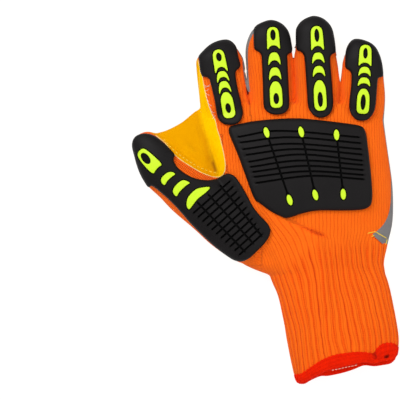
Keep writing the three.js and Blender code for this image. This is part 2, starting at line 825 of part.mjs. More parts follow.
function makeBackPad() {
  const outline = curve(backPadPoints.map(handPoint), true, 26);
  const lean = THREE.MathUtils.degToRad(studLean);
  const down = new THREE.Vector2(Math.sin(lean), -Math.cos(lean));
  const inserts = backStuds.map((stud) => {
    const middle = handPoint(stud);
    const { place } = padFrame(middle, middle.clone().add(down));
    return { name: `${stud.name}_stud`, outline: ellipse(place, 0, 0, studWidth / 2, studLength / 2, 8) };
  });
  const grooves = Array.from({ length: grooveCount }, (_, i) => {
    const share = i / (grooveCount - 1);
    const points = firstGroove.map((point, k) => between(point, lastGroove[k], share));
    return ribbon(curve(points.map(handPoint), false, 3), grooveWidth);
  });
  makePad('back', padRegion(outline), backPadThickness, inserts, grooves);
}

function meshOf({ name, piece, finish }) {
  const { vertProperties, triVerts } = piece.getMesh();
  const geometry = new THREE.BufferGeometry();
  geometry.setAttribute('position', new THREE.BufferAttribute(vertProperties, 3));
  geometry.setIndex(new THREE.BufferAttribute(triVerts, 1));
  geometry.computeVertexNormals();
  const mesh = new THREE.Mesh(geometry, finish);
  mesh.name = name;
  return mesh;
}

makeShell();
makeHem();
fingers.forEach(makeFingerPad);
makeThumbPad();
makeBackPad();

// The origin goes to the middle of the footprint
const glove = new THREE.Group();
pieces.forEach((piece) => glove.add(meshOf(piece)));
const bounds = new THREE.Box3().setFromObject(glove);
const centre = bounds.getCenter(new THREE.Vector3());
glove.position.set(-centre.x, -centre.y, -bounds.min.z);

const root = new THREE.Group();
root.add(glove);

export default root;
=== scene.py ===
# Anti-vibration work glove for the right hand, lying palm down and empty: the visible pieces,
# their finishes, the light and the camera. Places are worked out in millimetres, in the frame of
# the solids, and become metres when they reach a mesh.

import math
from functools import partialmethod

import bpy
import numpy as np
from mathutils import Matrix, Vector
from mathutils.bvhtree import BVHTree
from mathutils.geometry import delaunay_2d_cdt


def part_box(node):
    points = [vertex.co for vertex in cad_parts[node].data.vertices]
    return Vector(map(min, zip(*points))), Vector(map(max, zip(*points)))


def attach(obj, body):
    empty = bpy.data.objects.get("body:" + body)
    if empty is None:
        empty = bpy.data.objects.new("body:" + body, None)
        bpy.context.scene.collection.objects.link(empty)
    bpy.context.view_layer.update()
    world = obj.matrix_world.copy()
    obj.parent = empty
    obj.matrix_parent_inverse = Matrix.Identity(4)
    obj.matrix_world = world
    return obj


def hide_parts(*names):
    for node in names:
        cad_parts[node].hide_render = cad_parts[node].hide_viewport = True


bl_info = {
    "name": "Anti-vibration glove",
    "version": (1, 0, 0),
    "blender": (4, 5, 0),
    "location": "3D View > Sidebar > Glove",
    "description": "Builds a knitted work glove with moulded pads on its back",
    "category": "Add Mesh",
}

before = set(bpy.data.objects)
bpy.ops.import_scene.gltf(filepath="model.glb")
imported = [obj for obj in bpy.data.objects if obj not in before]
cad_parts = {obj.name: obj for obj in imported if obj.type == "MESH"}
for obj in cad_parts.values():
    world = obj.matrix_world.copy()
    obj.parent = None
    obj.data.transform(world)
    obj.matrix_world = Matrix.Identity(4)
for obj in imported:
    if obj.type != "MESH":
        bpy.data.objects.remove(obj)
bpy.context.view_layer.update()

MM = 0.001

# Driving dimensions, as in the solids
KNUCKLE_WIDTH = 128
PALM_LENGTH = 115.2
HAND_HEIGHT = 27
FINGER_LENGTH = 60
FINGER_WIDTH = 33.8
FINGER_HEIGHT = 19.5
CUFF_LENGTH = 68.7
CUFF_WIDTH = 77.3
CUFF_HEIGHT = 21
CUFF_TILT = 16.4
THUMB_LENGTH = 104.2
THUMB_WIDTH = 38.6
THUMB_HEIGHT = 23
THUMB_ANGLE = 145
WEB_HEIGHT = 15.5
SEAM_HEIGHT = 9
HEM_WIDTH = 9
STRIP_HEIGHT = 5
TOP_ROUNDNESS = 2.3
BOTTOM_ROUNDNESS = 3
BOTTOM_FLATNESS = 1.08

# The paper pattern is ruled in squares. It is laid so that its knuckle mark meets the middle of
# the knuckle line, which the stud in the middle of the back pad's upper row gives
PATTERN_SQUARE = 0.69
KNUCKLE_MARK = (292.3, 103)
STUD = np.array(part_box("back_upper_middle_stud"))[:, :2].mean(axis=0) / MM
DATUM = STUD - np.array((0.047 * KNUCKLE_WIDTH, -0.174 * PALM_LENGTH))

# Fingers: the place of the axis in shares of the knuckle width, length and width in shares of the
# longest finger's, the top and the foot of the pad on the pattern, and rows of the place along
# the finger and of the sides to the left and to the right of its axis
FINGERS = {
    "index": {
        "across": -0.374, "length": 0.733, "width": 1, "pad": ((217.5, 49.6), (230, 118)),
        "inserts": (0.333, 0.317, 0.477, 0.463, 0.639, 0.623),
        "holes": ((0.33, 0.19, 0.44), (0.62, 0.19, 0.44)), "bows": (0.76, 0.52),
        "rows": ((-0.45, 0.42, 0.46), (0.08, 0.48, 0.55), (0.52, 0.54, 0.488), (0.7, 0.535, 0.425),
                 (0.83, 0.4, 0.35), (0.91, 0.28, 0.272), (1, 0.02, 0.1)),
    },
    "middle": {
        "across": -0.12, "length": 0.955, "width": 1, "pad": ((272.5, 27), (276.7, 107.9)),
        "inserts": (0.277, 0.314, 0.472, 0.5, 0.658, 0.673),
        "holes": ((0.36, 0.243, 0.44), (0.65, 0.21, 0.46)), "bows": (0.82, 0.62),
        "rows": ((-0.25, 0.44, 0.48), (0.04, 0.43, 0.49), (0.52, 0.495, 0.49),
                 (0.72, 0.486, 0.443), (0.867, 0.408, 0.367), (0.934, 0.306, 0.286),
                 (0.982, 0.184, 0.163), (1, 0.08, 0.06)),
    },
    "ring": {
        "across": 0.13, "length": 1, "width": 0.95, "pad": ((316.3, 26), (320.8, 110.7)),
        "inserts": (0.287, 0.315, 0.443, 0.473, 0.6, 0.64),
        "holes": ((0.39, 0.27, 0.4), (0.633, 0.25, 0.43)), "bows": (0.82, 0.6),
        "rows": ((-0.25, 0.46, 0.48), (0.06, 0.447, 0.51), (0.26, 0.455, 0.54),
                 (0.37, 0.465, 0.505), (0.5, 0.475, 0.462), (0.69, 0.441, 0.4),
                 (0.84, 0.43, 0.346), (0.916, 0.366, 0.273), (0.968, 0.247, 0.161),
                 (1, 0.12, 0.02)),
    },
    "little": {
        "across": 0.381, "length": 0.743, "width": 0.9, "pad": ((365.8, 44.8), (362.5, 113.9)),
        "inserts": (0.309, 0.32, 0.456, 0.473, 0.603, 0.635),
        "holes": ((0.4, 0.257, 0.37), (0.54, 0.31, 0.42)), "bows": (0.84, 0.64),
        "rows": ((-0.45, 0.46, 0.46), (0.05, 0.5, 0.516), (0.36, 0.51, 0.485),
                 (0.64, 0.462, 0.435), (0.85, 0.364, 0.311), (0.93, 0.295, 0.193),
                 (0.975, 0.227, 0.06), (1, 0.17, -0.06)),
    },
}

# Hand rows: along, left, right, height. Thumb rows: along, lower, upper. Cuff rows: along, shift,
# half width, tilt, height. All are shares of the driving dimensions
HAND_ROWS = ((0, 0.495, 0.495, 0.62), (0.1, 0.492, 0.496, 0.8), (0.28, 0.465, 0.517, 0.95),
             (0.5, 0.43, 0.544, 1), (0.7, 0.38, 0.544, 0.97), (0.84, 0.325, 0.516, 0.9),
             (0.95, 0.275, 0.496, 0.82), (0.99, 0.22, 0.498, 0.79), (1.03, 0.125, 0.503, 0.76))
THUMB_ROWS = ((-0.12, 0.45, 0.4), (0, 0.535, 0.46), (0.17, 0.54, 0.535), (0.33, 0.486, 0.535),
              (0.51, 0.44, 0.52), (0.63, 0.375, 0.535), (0.77, 0.31, 0.55), (0.88, 0.11, 0.535),
              (0.95, -0.06, 0.47), (0.985, -0.11, 0.36), (0.995, -0.16, 0.27))
THUMB_ROOT = (-0.226, 0.792)
CUFF_ROWS = ((-0.12, -0.01, 0.48, 0.08, 0.98), (0.06, 0.036, 0.513, 0.1, 1),
             (0.27, 0.103, 0.5, 0.16, 1), (0.73, 0.178, 0.494, 0.45, 0.92),
             (1, 0.206, 0.469, 1, 0.82))
CUFF_ACROSS = 0.171
WEB_ON_THUMB = (((0.93, 0.45), (0.71, 0.3)), ((0.86, 0.657), (0.57, 0.307)),
                ((0.8, 0.964), (0.45, 0.345)))
WEB_ON_HAND = (((-0.492, 0.03), (-0.38, 0.37)), ((-0.4, 0.06), (-0.31, 0.28)))

# Outlines on the pattern
FINGER_PADS = {
    "index": (
        (198.3, 56.7), (199.6, 60), (200, 68.3), (201.3, 73.3), (202.5, 76.2), (205.8, 76.2),
        (209.6, 78.3), (210.8, 82.5), (212, 87.5), (214.6, 97.5), (216.3, 107.5), (217, 113.3),
        (218.3, 119), (223.3, 123.8), (230, 124.6), (236.7, 123.8), (240.8, 120), (242.7, 113.3),
        (242, 108.3), (240, 99), (237.5, 90), (235.8, 80.8), (235, 73.3), (235.8, 70.4),
        (239.2, 67.5), (240.3, 65.8), (239.8, 62.5), (237.9, 56.7), (236.7, 49.2), (235.4, 45.4),
        (231.7, 41.3), (226.7, 39.2), (217.5, 40.8), (209.2, 45), (201.7, 52.5),
    ),
    "middle": (
        (253.8, 29.6), (254.2, 43.3), (254.6, 49.6), (258.3, 50.8), (261.7, 54.2), (262.3, 60),
        (263.3, 85), (263.8, 105), (265, 109.2), (270, 113.3), (276.7, 114.4), (284.2, 113.3),
        (287.9, 109.2), (289.2, 104.2), (288.3, 85), (287.1, 60), (286.7, 55.8), (288.3, 53.3),
        (292.5, 51.7), (291.3, 43.3), (289.6, 34.2), (286.7, 28.3), (281.7, 23.3), (275, 20.4),
        (269.2, 20), (263.3, 22), (258.3, 24.2), (255, 27),
    ),
    "ring": (
        (296.3, 30), (296.3, 43.3), (297, 50), (300.8, 50.8), (304.2, 54.2), (305.2, 60),
        (306.3, 76.7), (307.5, 93.3), (307.9, 104.2), (309.6, 110), (314.2, 115.8),
        (320.4, 117.9), (327.5, 115.8), (331.7, 110.8), (333.2, 103.3), (332.5, 93.3),
        (330.8, 72.5), (329.6, 60), (330, 55.8), (332.5, 53.3), (335.7, 52.5), (335.3, 45.8),
        (334.2, 37.5), (332.5, 29.2), (329.2, 23.3), (323.3, 18.3), (316.7, 16), (311.7, 16),
        (305, 18.8), (300, 22.5), (297, 27.5),
    ),
    "little": (
        (346.3, 50), (345.7, 60), (345.4, 67.9), (349.2, 69.6), (351.7, 72.5), (352, 79.2),
        (351.3, 89.2), (349.6, 101.7), (349.6, 109.2), (352, 115), (355.8, 119.2),
        (361.7, 120.8), (368.3, 119.2), (373.3, 113.3), (375, 106.7), (376.3, 93.3),
        (377, 80.8), (378.3, 76.7), (382.9, 76.7), (383.2, 72.5), (382, 63.3), (380, 55.8),
        (376.7, 48.3), (371.7, 43.3), (365, 40.4), (358.3, 38.8), (353.3, 39.2), (349.2, 43.3),
    ),
}
THUMB_PAD = (
    (132.3, 147.6), (132.3, 143), (133.8, 138.4), (137.7, 135), (144.5, 133.4), (151.4, 134.6),
    (158.3, 138.4), (164.4, 143.8), (170.6, 149.9), (175, 155.2), (173.2, 158.3), (173.2, 161.4),
    (177.4, 168.3), (185, 174.4), (195, 179), (206.5, 180.9), (215.7, 179.7), (221, 177),
    (224.9, 174.4), (229.5, 174), (234, 175.9), (237.5, 180), (245, 192.5), (252.5, 207.5),
    (260, 216.3), (267.5, 223.8), (270.4, 230), (268.8, 236.3), (265, 242.5), (257.5, 250),
    (250, 257.5), (242.5, 261.6), (235, 260.6), (228.8, 256.9), (217.5, 248.8), (206.3, 238.8),
    (198.8, 231.3), (190, 222.5), (181.3, 211.9), (170, 200), (160, 191.3), (151.3, 184.4),
    (148.7, 187.8), (145.3, 182.8), (140.7, 175), (136.9, 165.2), (133.8, 153),
)
BACK_PAD = (
    (228.6, 130), (230, 126.4), (240, 124.3), (250, 122), (267, 120), (290, 118.6),
    (302.9, 118.9), (324.3, 121), (352.9, 124.6), (361.4, 126.4), (365, 130), (367, 142.9),
    (370, 168.6), (371.9, 191.4), (371.4, 202.9), (368.6, 207), (361.4, 209.7), (338.6, 210.3),
    (318.6, 209.7), (304.3, 212), (287, 218.3), (281.4, 216.4), (270, 210.7), (260, 202.9),
    (255, 200), (251.4, 191.4), (244.3, 171.4), (237, 151.4), (230, 135.7),
)
BACK_STUDS = {
    "upper_left": ((266.4, 132.6), 15), "upper_middle": ((301, 132), 13),
    "upper_right": ((336.3, 135), 4), "lower_left": ((289.4, 200), 17),
    "lower_middle": ((315, 195), 15), "lower_right": ((342.9, 194.3), 3),
}

# Each arched groove of the back pad: its left end, its crown and its right end
BACK_GROOVES = (
    ((238.6, 137), (281, 131), (358.6, 137.4)), ((240.7, 142.6), (290, 137.4), (360, 143.3)),
    ((243.6, 149.3), (291, 143.9), (360.7, 149.3)), ((246.4, 155), (296, 149.3), (361.4, 154.6)),
    ((248.9, 161.9), (299, 154.6), (361.7, 160.7)), ((251, 167), (301, 160.6), (362, 165)),
    ((252.9, 172), (304, 166), (362.4, 170)), ((254.3, 177), (307, 171.4), (362.9, 175)),
    ((256.4, 183), (310, 176), (363, 179.3)),
)

# The tread of the thumb pad: its long grooves, and its first and its last cross groove
THUMB_LONG_GROOVES = (((220.2, 185.5), (261.3, 235.5)), ((208.6, 194.8), (253, 243.3)),
                      ((198, 203), (244.7, 251.5)))
THUMB_CROSS_GROOVES = (((193.8, 212.8), (229.9, 181.3)), ((239.5, 254.5), (261.8, 234.5)))
CROSS_GROOVE_COUNT = 11

# The coloured inserts of the thumb pad
THUMB_RING = ((140, 150), (136.9, 154.5), (141, 162), (153, 175), (155.5, 170.5), (158.5, 167),
              (162.9, 164.8), (154, 156), (145.3, 149), (142.5, 148.6))
THUMB_RING_HOLE = ((145.7, 158.5), (6.5, 3.7), 52)
THUMB_BARS = {
    "upper_bar": ((161, 179), (163, 176), (168.3, 172), (172.8, 172), (175.9, 174.4),
                  (172.8, 175.9), (166.7, 181.3), (164.8, 185.9), (161.4, 182.8)),
    "lower_bar": ((172.8, 189.7), (175.9, 185), (181.3, 180.5), (185, 180), (190.8, 183.2),
                  (187.4, 184.3), (179, 192), (176.7, 197.3), (173.2, 193.5)),
    "base_block": ((186.6, 201.9), (188.1, 196.6), (195.8, 188.9), (202.7, 187.4),
                   (209.2, 186.6), (210.3, 188.1), (205.7, 192.7), (197.3, 198.9),
                   (191.2, 207.3), (188.9, 210), (186.6, 206.5)),
}

# The finger inserts, across in shares of their half width and down in shares of their length
RING_SHAPE = ((0, 0), (0.42, 0.02), (0.78, 0.1), (0.95, 0.22), (1, 0.5), (1.03, 0.8), (1.06, 1))
CHEVRON_SHAPE = ((0, 0), (0.35, 0.02), (0.62, 0.12), (0.84, 0.36), (0.96, 0.64), (1.02, 1))
LONG_RING_SHAPE = ((0, 0), (0.34, 0.015), (0.6, 0.075), (0.82, 0.17), (0.96, 0.27), (1, 0.4),
                   (1.02, 0.82), (0.9, 0.92), (0.62, 0.98), (0.3, 1), (0, 1))

# The edge of the leather that wraps the index finger and the web, and the seams on the leather
LEATHER_EDGE = (
    (197, 55), (198.5, 62), (200, 68), (202.5, 76.7), (203.8, 85), (205.8, 94), (208.8, 105),
    (212, 114), (215, 119), (217.5, 130), (220, 137.5), (223, 150), (225, 161), (225.3, 168),
    (223.5, 174), (219.5, 177), (214, 177), (210, 176), (200, 171.9), (190, 166), (180, 159.4),
    (172.5, 152.5), (165, 143), (160, 138.8), (155, 135), (148, 131),
)
WEB_CREASE = ((199.5, 106), (201, 118), (204, 128), (207, 138), (210.5, 150), (213.5, 160),
              (216, 168), (217.6, 175))
THUMB_SEAM = ((-0.5, 0), (-0.476, 0.15), (-0.438, 0.281), (-0.4, 0.42), (-0.347, 0.61),
              (-0.304, 0.79), (-0.304, 1.1))
WEDGE_EDGE = ((391, 158), (391.6, 172), (391.4, 186), (391.2, 200), (389.8, 210), (387.3, 218),
              (383.2, 225), (377.5, 230.6), (372.5, 234.3), (373.2, 235.4), (382.4, 243.6),
              (383.4, 243.8), (385.6, 242.5), (387, 243.5), (397, 244), (402, 200), (398, 158))
CROTCHES = {
    "fourchette_index_middle": ((244.7, 62), (246.4, 86), (248, 96), (250.3, 108)),
    "fourchette_middle_ring": ((293.5, 50), (293.7, 60), (294.3, 80), (295, 99)),
    "fourchette_ring_little": ((340, 66), (340.8, 80), (340.5, 90), (340, 101)),
}

# The strip that shows on the thumb's side of the middle finger, the opening at its root, dented and
# painted dark with shade, and the painted shade that runs on below it
MIDDLE_FINGER_STRIP = (
    (252.5, 26), (248.5, 31), (245, 38), (243, 48), (242.5, 60), (243.5, 72), (245.5, 84),
    (248, 92), (250.3, 92), (249.2, 84), (248.3, 72), (247.8, 60), (248, 48), (250, 40),
    (253.5, 33), (256, 29),
)
CROTCH_HOLE = ((246.9, 86.5), (247.6, 90.5), (248.4, 95))
CROTCH_TAIL = ((248.2, 94), (249, 100), (249.8, 106.5))

# The gaps cut between the fingers
FINGER_GAPS = (
    ((242.6, 56), (244.3, 62), (245.5, 69), (246.1, 75), (246.6, 79), (246.9, 75), (246.5, 68),
     (246, 60), (245.6, 56)),
    ((291.8, 47.5), (292.1, 51), (293.4, 57), (293.8, 58.4), (294.3, 56.4), (295.5, 51),
     (295.9, 47.5)),
    ((336.4, 55), (337.6, 62), (339, 71), (340.6, 80.4), (341, 81.4), (341.3, 79), (341.9, 74),
     (343.1, 62), (344.6, 56.5)),
)

# Creases of the web, which are dented and painted with shade, the painted shade of the hollow at
# the foot of its crease, the wedge of painted shadow under the wrist's fold and the painted shade
# beside the grey strip
WEB_HOLLOW_SHADE = ((212, 159.5), (213.6, 164.5), (215, 169), (216.6, 173.5))
WEB_FOLDS = (((196.5, 119), (198, 131), (201.5, 142)), ((207.5, 153), (209.5, 161), (213.5, 169)),
             ((186, 140), (192, 148), (200, 155)), ((203, 96), (205.5, 106), (209.5, 117)))
FOLD_SHADOW_WEDGE = ((300.8, 226.1), (307.3, 227.2), (313.8, 229.6), (321.4, 232.8), (328, 237.6),
              (321.4, 236.2), (314, 234.8), (309, 231.6), (305, 229))
STRIP_SHADE = ((373.4, 236.4), (378, 240.2), (382.6, 244.2))

# The line along which the columns of stitches are shifted, so that none of them shows as a line
# on the back, the border of the thumb's knit, whose upper side has its stitches drawn tight and is
# painted in shade, and the fold at the wrist, which is dented and painted with shade
WALE_SPLIT = ((243.5, 40), (244.7, 62), (246.4, 86), (248, 96), (250.3, 108), (251, 122),
              (287, 218), (287, 225))
SPLIT_SHIFT = 26
THUMB_EDGE = ((222, 150), (228, 172), (262, 232), (262, 262))
KNIT_FOLD = ((292, 221.5), (300, 226), (308, 230), (316, 232.5), (324, 235.5), (328.5, 239))

# Ribs of the cuff on the pattern: how far down, then how far across each of seven ribs lies,
# and the places of those ribs across the cuff in millimetres
RIB_ROWS = (
    (192, 234, 241, 252, 309, 337, 362, 389), (214, 245, 253, 267, 314, 337, 362, 389),
    (236, 257, 267, 284.5, 318.4, 337.4, 362.6, 388),
    (262, 270, 280.5, 297.5, 321.5, 338.4, 364.7, 385),
    (283, 273.5, 287.5, 304.5, 324.2, 341.5, 370, 388.5),
    (304, 279.5, 293.7, 308, 326.5, 346.5, 377, 393),
    (325, 285.5, 298.5, 310, 328, 351.6, 382.6, 396.5),
    (346, 290, 300.5, 311.5, 329.6, 356, 386.5, 399), (372, 295, 301, 312.5, 331, 361, 390, 401),
)
RIB_PLACES = (-14.8, -5.5, 3.5, 16.1, 31.1, 52.5, 62.8)

# Where the ribs give way to the plain knit of the hand, how soft that border is at each of its
# points, and where the ribs begin to rise
FOLD_LINE = ((240, 190), (262, 202), (270, 204), (288, 219), (305, 227.5), (328, 238), (345, 239),
             (390, 237))
FOLD_SOFTNESS = (20, 12, 4, 1.2, 1.2, 2, 6, 6)
RIB_START = ((270, 268), (300, 252), (312, 240), (385, 236))

# The red hem on the pattern, from the thumb's side: its upper edge, its lip and its outer end
HEM_TOP = ((295.8, 374.7), (302, 373.5), (312, 366.8), (322.6, 359.5), (335.3, 354.7), (345, 353),
           (356, 351.8), (369, 352.6), (374, 351.6), (377, 347.6), (381.6, 344.2), (388, 343),
           (394.4, 344.3), (397.8, 347.5))
HEM_LIP = ((297, 380.5), (303, 382.3), (311, 378.6), (320, 374.3), (330, 369.9), (345, 366.5),
           (358, 363.4), (366, 362.6), (375, 363.7), (382.5, 361.4), (390, 360.5), (394.6, 358),
           (397.6, 353.6))
# The lip's glint, a painted highlight drawn as pale stitches that are partly thread
HEM_GLINT = ((332, 370.4), (338, 369.2), (345, 367.6), (352, 366.2), (358.5, 364.7))
HEM_END = ((296.6, 380.5), (299, 384.3), (305, 384.6), (309.5, 382), (320.5, 377.2), (329, 376.7),
           (343.7, 373.6), (354.2, 370.3), (364.7, 366.3), (375.3, 367), (384, 365.8), (391, 364.4),
           (395, 361.6), (397.6, 356))
HEM_SIDE = ((399, 340), (399.2, 347), (398.9, 351), (398.2, 356), (396.2, 360.2), (391.5, 364.6),
            (391.5, 372))
# The fold and the hole of the hem, dented and painted with shade
HEM_FOLD = ((371, 350.5), (374, 353), (375.5, 358))
HEM_HOLE = ((386, 357.6), (388.5, 356.4))

# Lines of stitches on the pattern: along the leather's edge, across the wedge and on the palm
EDGE_STITCHES = ((163.5, 139), (172, 148.5), (181, 156), (190, 162), (200, 167.6), (210, 171.5),
                 (217, 173))
WEDGE_STITCHES = (((367.5, 233.4), (371.5, 232.4), (375.7, 232), (381, 235), (387, 238.4)),
                  ((371.4, 236.6), (373, 236), (374.6, 235)),
                  ((387.4, 239.2), (387, 241.6), (385.8, 244.8)))
PALM_SEAMS = (
    ((236, 196), (262, 204), (300, 208), (345, 206), (384, 198)),
    ((252, 158), (280, 163), (320, 164), (360, 161), (388, 155)),
    ((240, 122), (280, 126), (330, 126), (388, 120)),
    ((246, 236), (264, 218), (276, 190), (272, 160), (250, 136)),
    ((276, 240), (320, 244), (362, 241)),
)
FINGER_SEAMS = {"index": (0.16, 0.5, 0.86), "middle": (0.2, 0.52, 0.88),
                "ring": (0.18, 0.52, 0.88), "little": (0.2, 0.54, 0.86)}

# The frayed ends of thread along the leather's edge
FRAYED = (
    ((199.4, 69.6), (201, 73.4), (203.2, 77.6)), ((200.8, 72), (202.9, 75.4), (205.4, 76.6)),
    ((203.6, 84.6), (206.2, 86.2), (209.4, 86.4)), ((204, 87.4), (207, 86.6), (210.6, 84)),
    ((204.4, 90.4), (206.6, 90.6), (208.8, 89)), ((205.2, 92.4), (207.4, 94.6), (210, 95.2)),
    ((205.6, 95), (207, 98.8), (209, 101.8)), ((206.6, 98.8), (208.4, 104), (210, 109.6)),
    ((207.4, 101.4), (209.6, 104.6), (212, 106)), ((208.8, 105.6), (210.8, 109.6), (212.6, 115)),
    ((210.4, 110), (212.4, 112), (214.6, 112.6)), ((212.2, 118.6), (214, 117), (215.8, 115.4)),
    ((212.8, 114), (213.6, 117), (215.4, 120)),
)

# How the wall is made and cut: the gap along a seam, the tubes of its outside and its inside, the
# trim of the fingertips and how far the fingers' starts sink in the hand, the clearance under the
# hem, the deepest fold, how far the solids that cut it reach, the start of rays cast at it in
# metres, the lowest that pads and threads lie, and the shares across the hem where it is measured
SEAM_GAP = 0.03
OUTER_TUBES = {"end": 1.0, "voxel": 1.0, "sides": 56}
INNER_TUBES = {"end": 1.1, "voxel": 1.7, "sides": 40}
TIP_TRIM, ROOT_SINK = 0.55, 5.5
HEM_CLEARANCE = 1.2
DEEPEST = 1.1
RAY_START = 0.1
PAD_LOWEST, THREAD_LOWEST = 10, 4
BELOW, ABOVE, SKY = -20, 60, 80
REACH = (200, 300)
HEM_SHARES = np.linspace(0, 1, 61)

# Moulding of the pads: how far they spread past their outline and how far their tops and their
# undersides lift off the skin, the rounding of their rims, the grooves, the moats round the
# inserts and the studs, and the inserts and the studs themselves
PAD_SPREAD = 0.32
PAD_LIFT = 0.3
PAD_SINK = 0.25
PAD_ROUNDING = 1.7
BACK_ROUNDING = 2.6
GROOVE_HALF = 0.75
GROOVE_FLOOR = 0.45
GROOVE_DEPTH = 1.4
MOAT_NEAR = 0.4
MOAT_FAR = 0.8
MOAT_DEPTH = 0.8
MOAT_SLOPE = 0.35
MOAT_HALVES = (2.7, 4.5)
SEATING = 0.06
INSERT_HALF = 4.25
STUD_HALVES = (1.85, 3.75)
STUD_CLEARANCE = 4.2

# The hem's section, rolled from its upper edge over the lip and in: how far down in shares of its
# width, and how far out. Its thread and the stitches' bows are in millimetres
HEM_ROLL = ((0, 0.5), (0.04, 0.95), (0.3, 1.15), (0.65, 1.1), (0.9, 0.75), (1, 0), (0.98, -0.9),
            (0.86, -1.45), (0.64, -1.45), (0.58, -1.1), (0.57, -0.2), (0.54, 0.4), (0.3, 0.45),
            (0.06, 0.45))
HEM_THREAD = 1.5
SEAM_THREAD = 0.27
STITCH_BOW = np.array((-0.28, 0.1, 0.2, 0.1, -0.28))
UNDER_BOW = np.array((0.2, 0.02, -0.06, 0.02, 0.2))

# The stage, in metres: each light has a place, a size and a power
FLOOR_LEVEL = -0.0004
CAMERA_LENS = 500
PHOTO_SQUARES = 400
LIGHTS = (("key", (-0.55, 0.65, 1.1), 0.7, 12), ("fill", (0.8, 0.0, 1.0), 1.2, 5.4),
          ("front", (0.0, -0.9, 0.9), 1.0, 2.5))


def length_setting(name, description, default):
    return bpy.props.FloatProperty(name=name, description=description, default=default,
                                   unit="LENGTH")


def colour_setting(name, description, *default):
    return bpy.props.FloatVectorProperty(name=name, description=description, default=default,
                                         size=3, subtype="COLOR")


class GloveSizes(bpy.types.PropertyGroup):
    """Sizes that change the look of the glove without changing its outline."""

    wall: length_setting("Wall", "Thickness of the knit and of the leather", 0.0016)
    pad_thickness: length_setting(
        "Finger pads", "Thickness of the pads on the fingers and the thumb", 0.0034)
    back_pad_thickness: length_setting(
        "Back pad", "Thickness of the pad on the back of the hand", 0.004)
    insert_rise: length_setting(
        "Insert rise", "How far the coloured inserts stand above the pads", 0.0006)
    rib_pitch: length_setting(
        "Rib pitch", "Distance from one rib of the cuff to the next", 0.0046)
    rib_depth: length_setting(
        "Rib depth", "Height of the ribs of the cuff above their valleys", 0.0008)
    wale_pitch: length_setting(
        "Wale pitch", "Distance from one column of stitches to the next", 0.0013)


class GloveColours(bpy.types.PropertyGroup):
    """Colours of the glove's finishes and of the floor."""

    knit: colour_setting("Knit", "Bright knit of the back and the cuff", 1.0, 0.165, 0.008)
    hem: colour_setting("Hem", "Thread of the rolled hem", 0.92, 0.016, 0.0)
    leather: colour_setting("Leather", "Grain leather of the palm and the web", 1.0, 0.56, 0.0)
    strip: colour_setting("Strips", "Woven strips between back and palm", 0.22, 0.21, 0.21)
    pad: colour_setting("Pads", "Moulded rubber of the pads", 0.0074, 0.0063, 0.0066)
    insert: colour_setting("Inserts", "Coloured rubber let into the pads", 0.6, 0.87, 0.02)
    thread: colour_setting("Thread", "Thread of the visible seams", 1.0, 0.7, 0.05)
    floor: colour_setting("Floor", "Pale surface that the glove lies on", 0.14, 0.14, 0.14)


def sizes():
    return bpy.context.scene.glove_sizes


def colours():
    return bpy.context.scene.glove_colours


# Shader maths

class Value:
    """A number in a shader, on which Python's operators add Math nodes."""

    def __init__(self, tree, socket):
        self.tree = tree
        self.socket = socket

    def maths(self, operation, *others, swapped=False):
        node = self.tree.nodes.new("ShaderNodeMath")
        node.operation = operation
        items = (*others, self) if swapped else (self, *others)
        for slot, item in zip(node.inputs, items):
            if isinstance(item, Value):
                self.tree.links.new(item.socket, slot)
            else:
                slot.default_value = item
        return Value(self.tree, node.outputs[0])

    __add__ = __radd__ = partialmethod(maths, "ADD")
    __mul__ = __rmul__ = partialmethod(maths, "MULTIPLY")
    __sub__ = partialmethod(maths, "SUBTRACT")
    __rsub__ = partialmethod(maths, "SUBTRACT", swapped=True)
    __truediv__ = partialmethod(maths, "DIVIDE")
    __pow__ = partialmethod(maths, "POWER")
    __abs__ = partialmethod(maths, "ABSOLUTE")
    sine = partialmethod(maths, "SINE")
    cosine = partialmethod(maths, "COSINE")
    fraction = partialmethod(maths, "FRACT")

    def held(self, low=0.0, high=1.0):
        return self.maths("MAXIMUM", low).maths("MINIMUM", high)


class Finish:
    """A material, its surface shader and the nodes that feed it."""

    def __init__(self, name, **constants):
        self.material = bpy.data.materials.new(name)
        self.material.use_nodes = True
        self.tree = self.material.node_tree
        self.shader = self.tree.nodes["Principled BSDF"]
        for socket, value in constants.items():
            self.shader.inputs[socket.replace("_", " ")].default_value = value

    def node(self, kind, inputs=None, output=0, **settings):
        """Adds a node, with its settings first, and gives one of its outputs."""
        node = self.tree.nodes.new(kind)
        for setting, value in settings.items():
            setattr(node, setting, value)
        for socket, value in (inputs or {}).items():
            if isinstance(value, Value):
                self.tree.links.new(value.socket, node.inputs[socket])
            else:
                node.inputs[socket].default_value = value
        return Value(self.tree, node.outputs[output])

    def attribute(self, name):
        return self.node("ShaderNodeAttribute", output="Fac", attribute_name=name)

    def places(self):
        return self.node("ShaderNodeTexCoord", output="Object")

    def place(self, axis):
        return self.node("ShaderNodeSeparateXYZ", {0: self.places()}, output=axis)

    def noise(self, scale, detail, vector=None):
        inputs = {"Vector": vector or self.places(), "Scale": scale, "Detail": detail}
        return self.node("ShaderNodeTexNoise", inputs)

    def mixed(self, factor, first, second):
        """Mixes two colours by a factor."""
        first, second = (item if isinstance(item, Value) else (*item, 1)
                         for item in (first, second))
        inputs = {0: factor, 6: first, 7: second}
        return self.node("ShaderNodeMix", inputs, output=2, data_type="RGBA")

    def bump(self, height, distance, strength):
        inputs = {"Height": height, "Distance": distance, "Strength": strength}
        return self.node("ShaderNodeBump", inputs)

    def feeds(self, **links):
        for socket, value in links.items():
            self.tree.links.new(value.socket, self.shader.inputs[socket.replace("_", " ")])
        return self.material

    def glows(self, base, **links):
        """Feeds one colour to the base and to the faint glow that evens out the light."""
        return self.feeds(Base_Color=base, Emission_Color=base, **links)


def shade(colour, *shares):
    """A colour made darker or brighter by one share or by a share for each of its parts."""
    return tuple(min(1.0, part * share) for part, share in zip(colour, shares * 3))


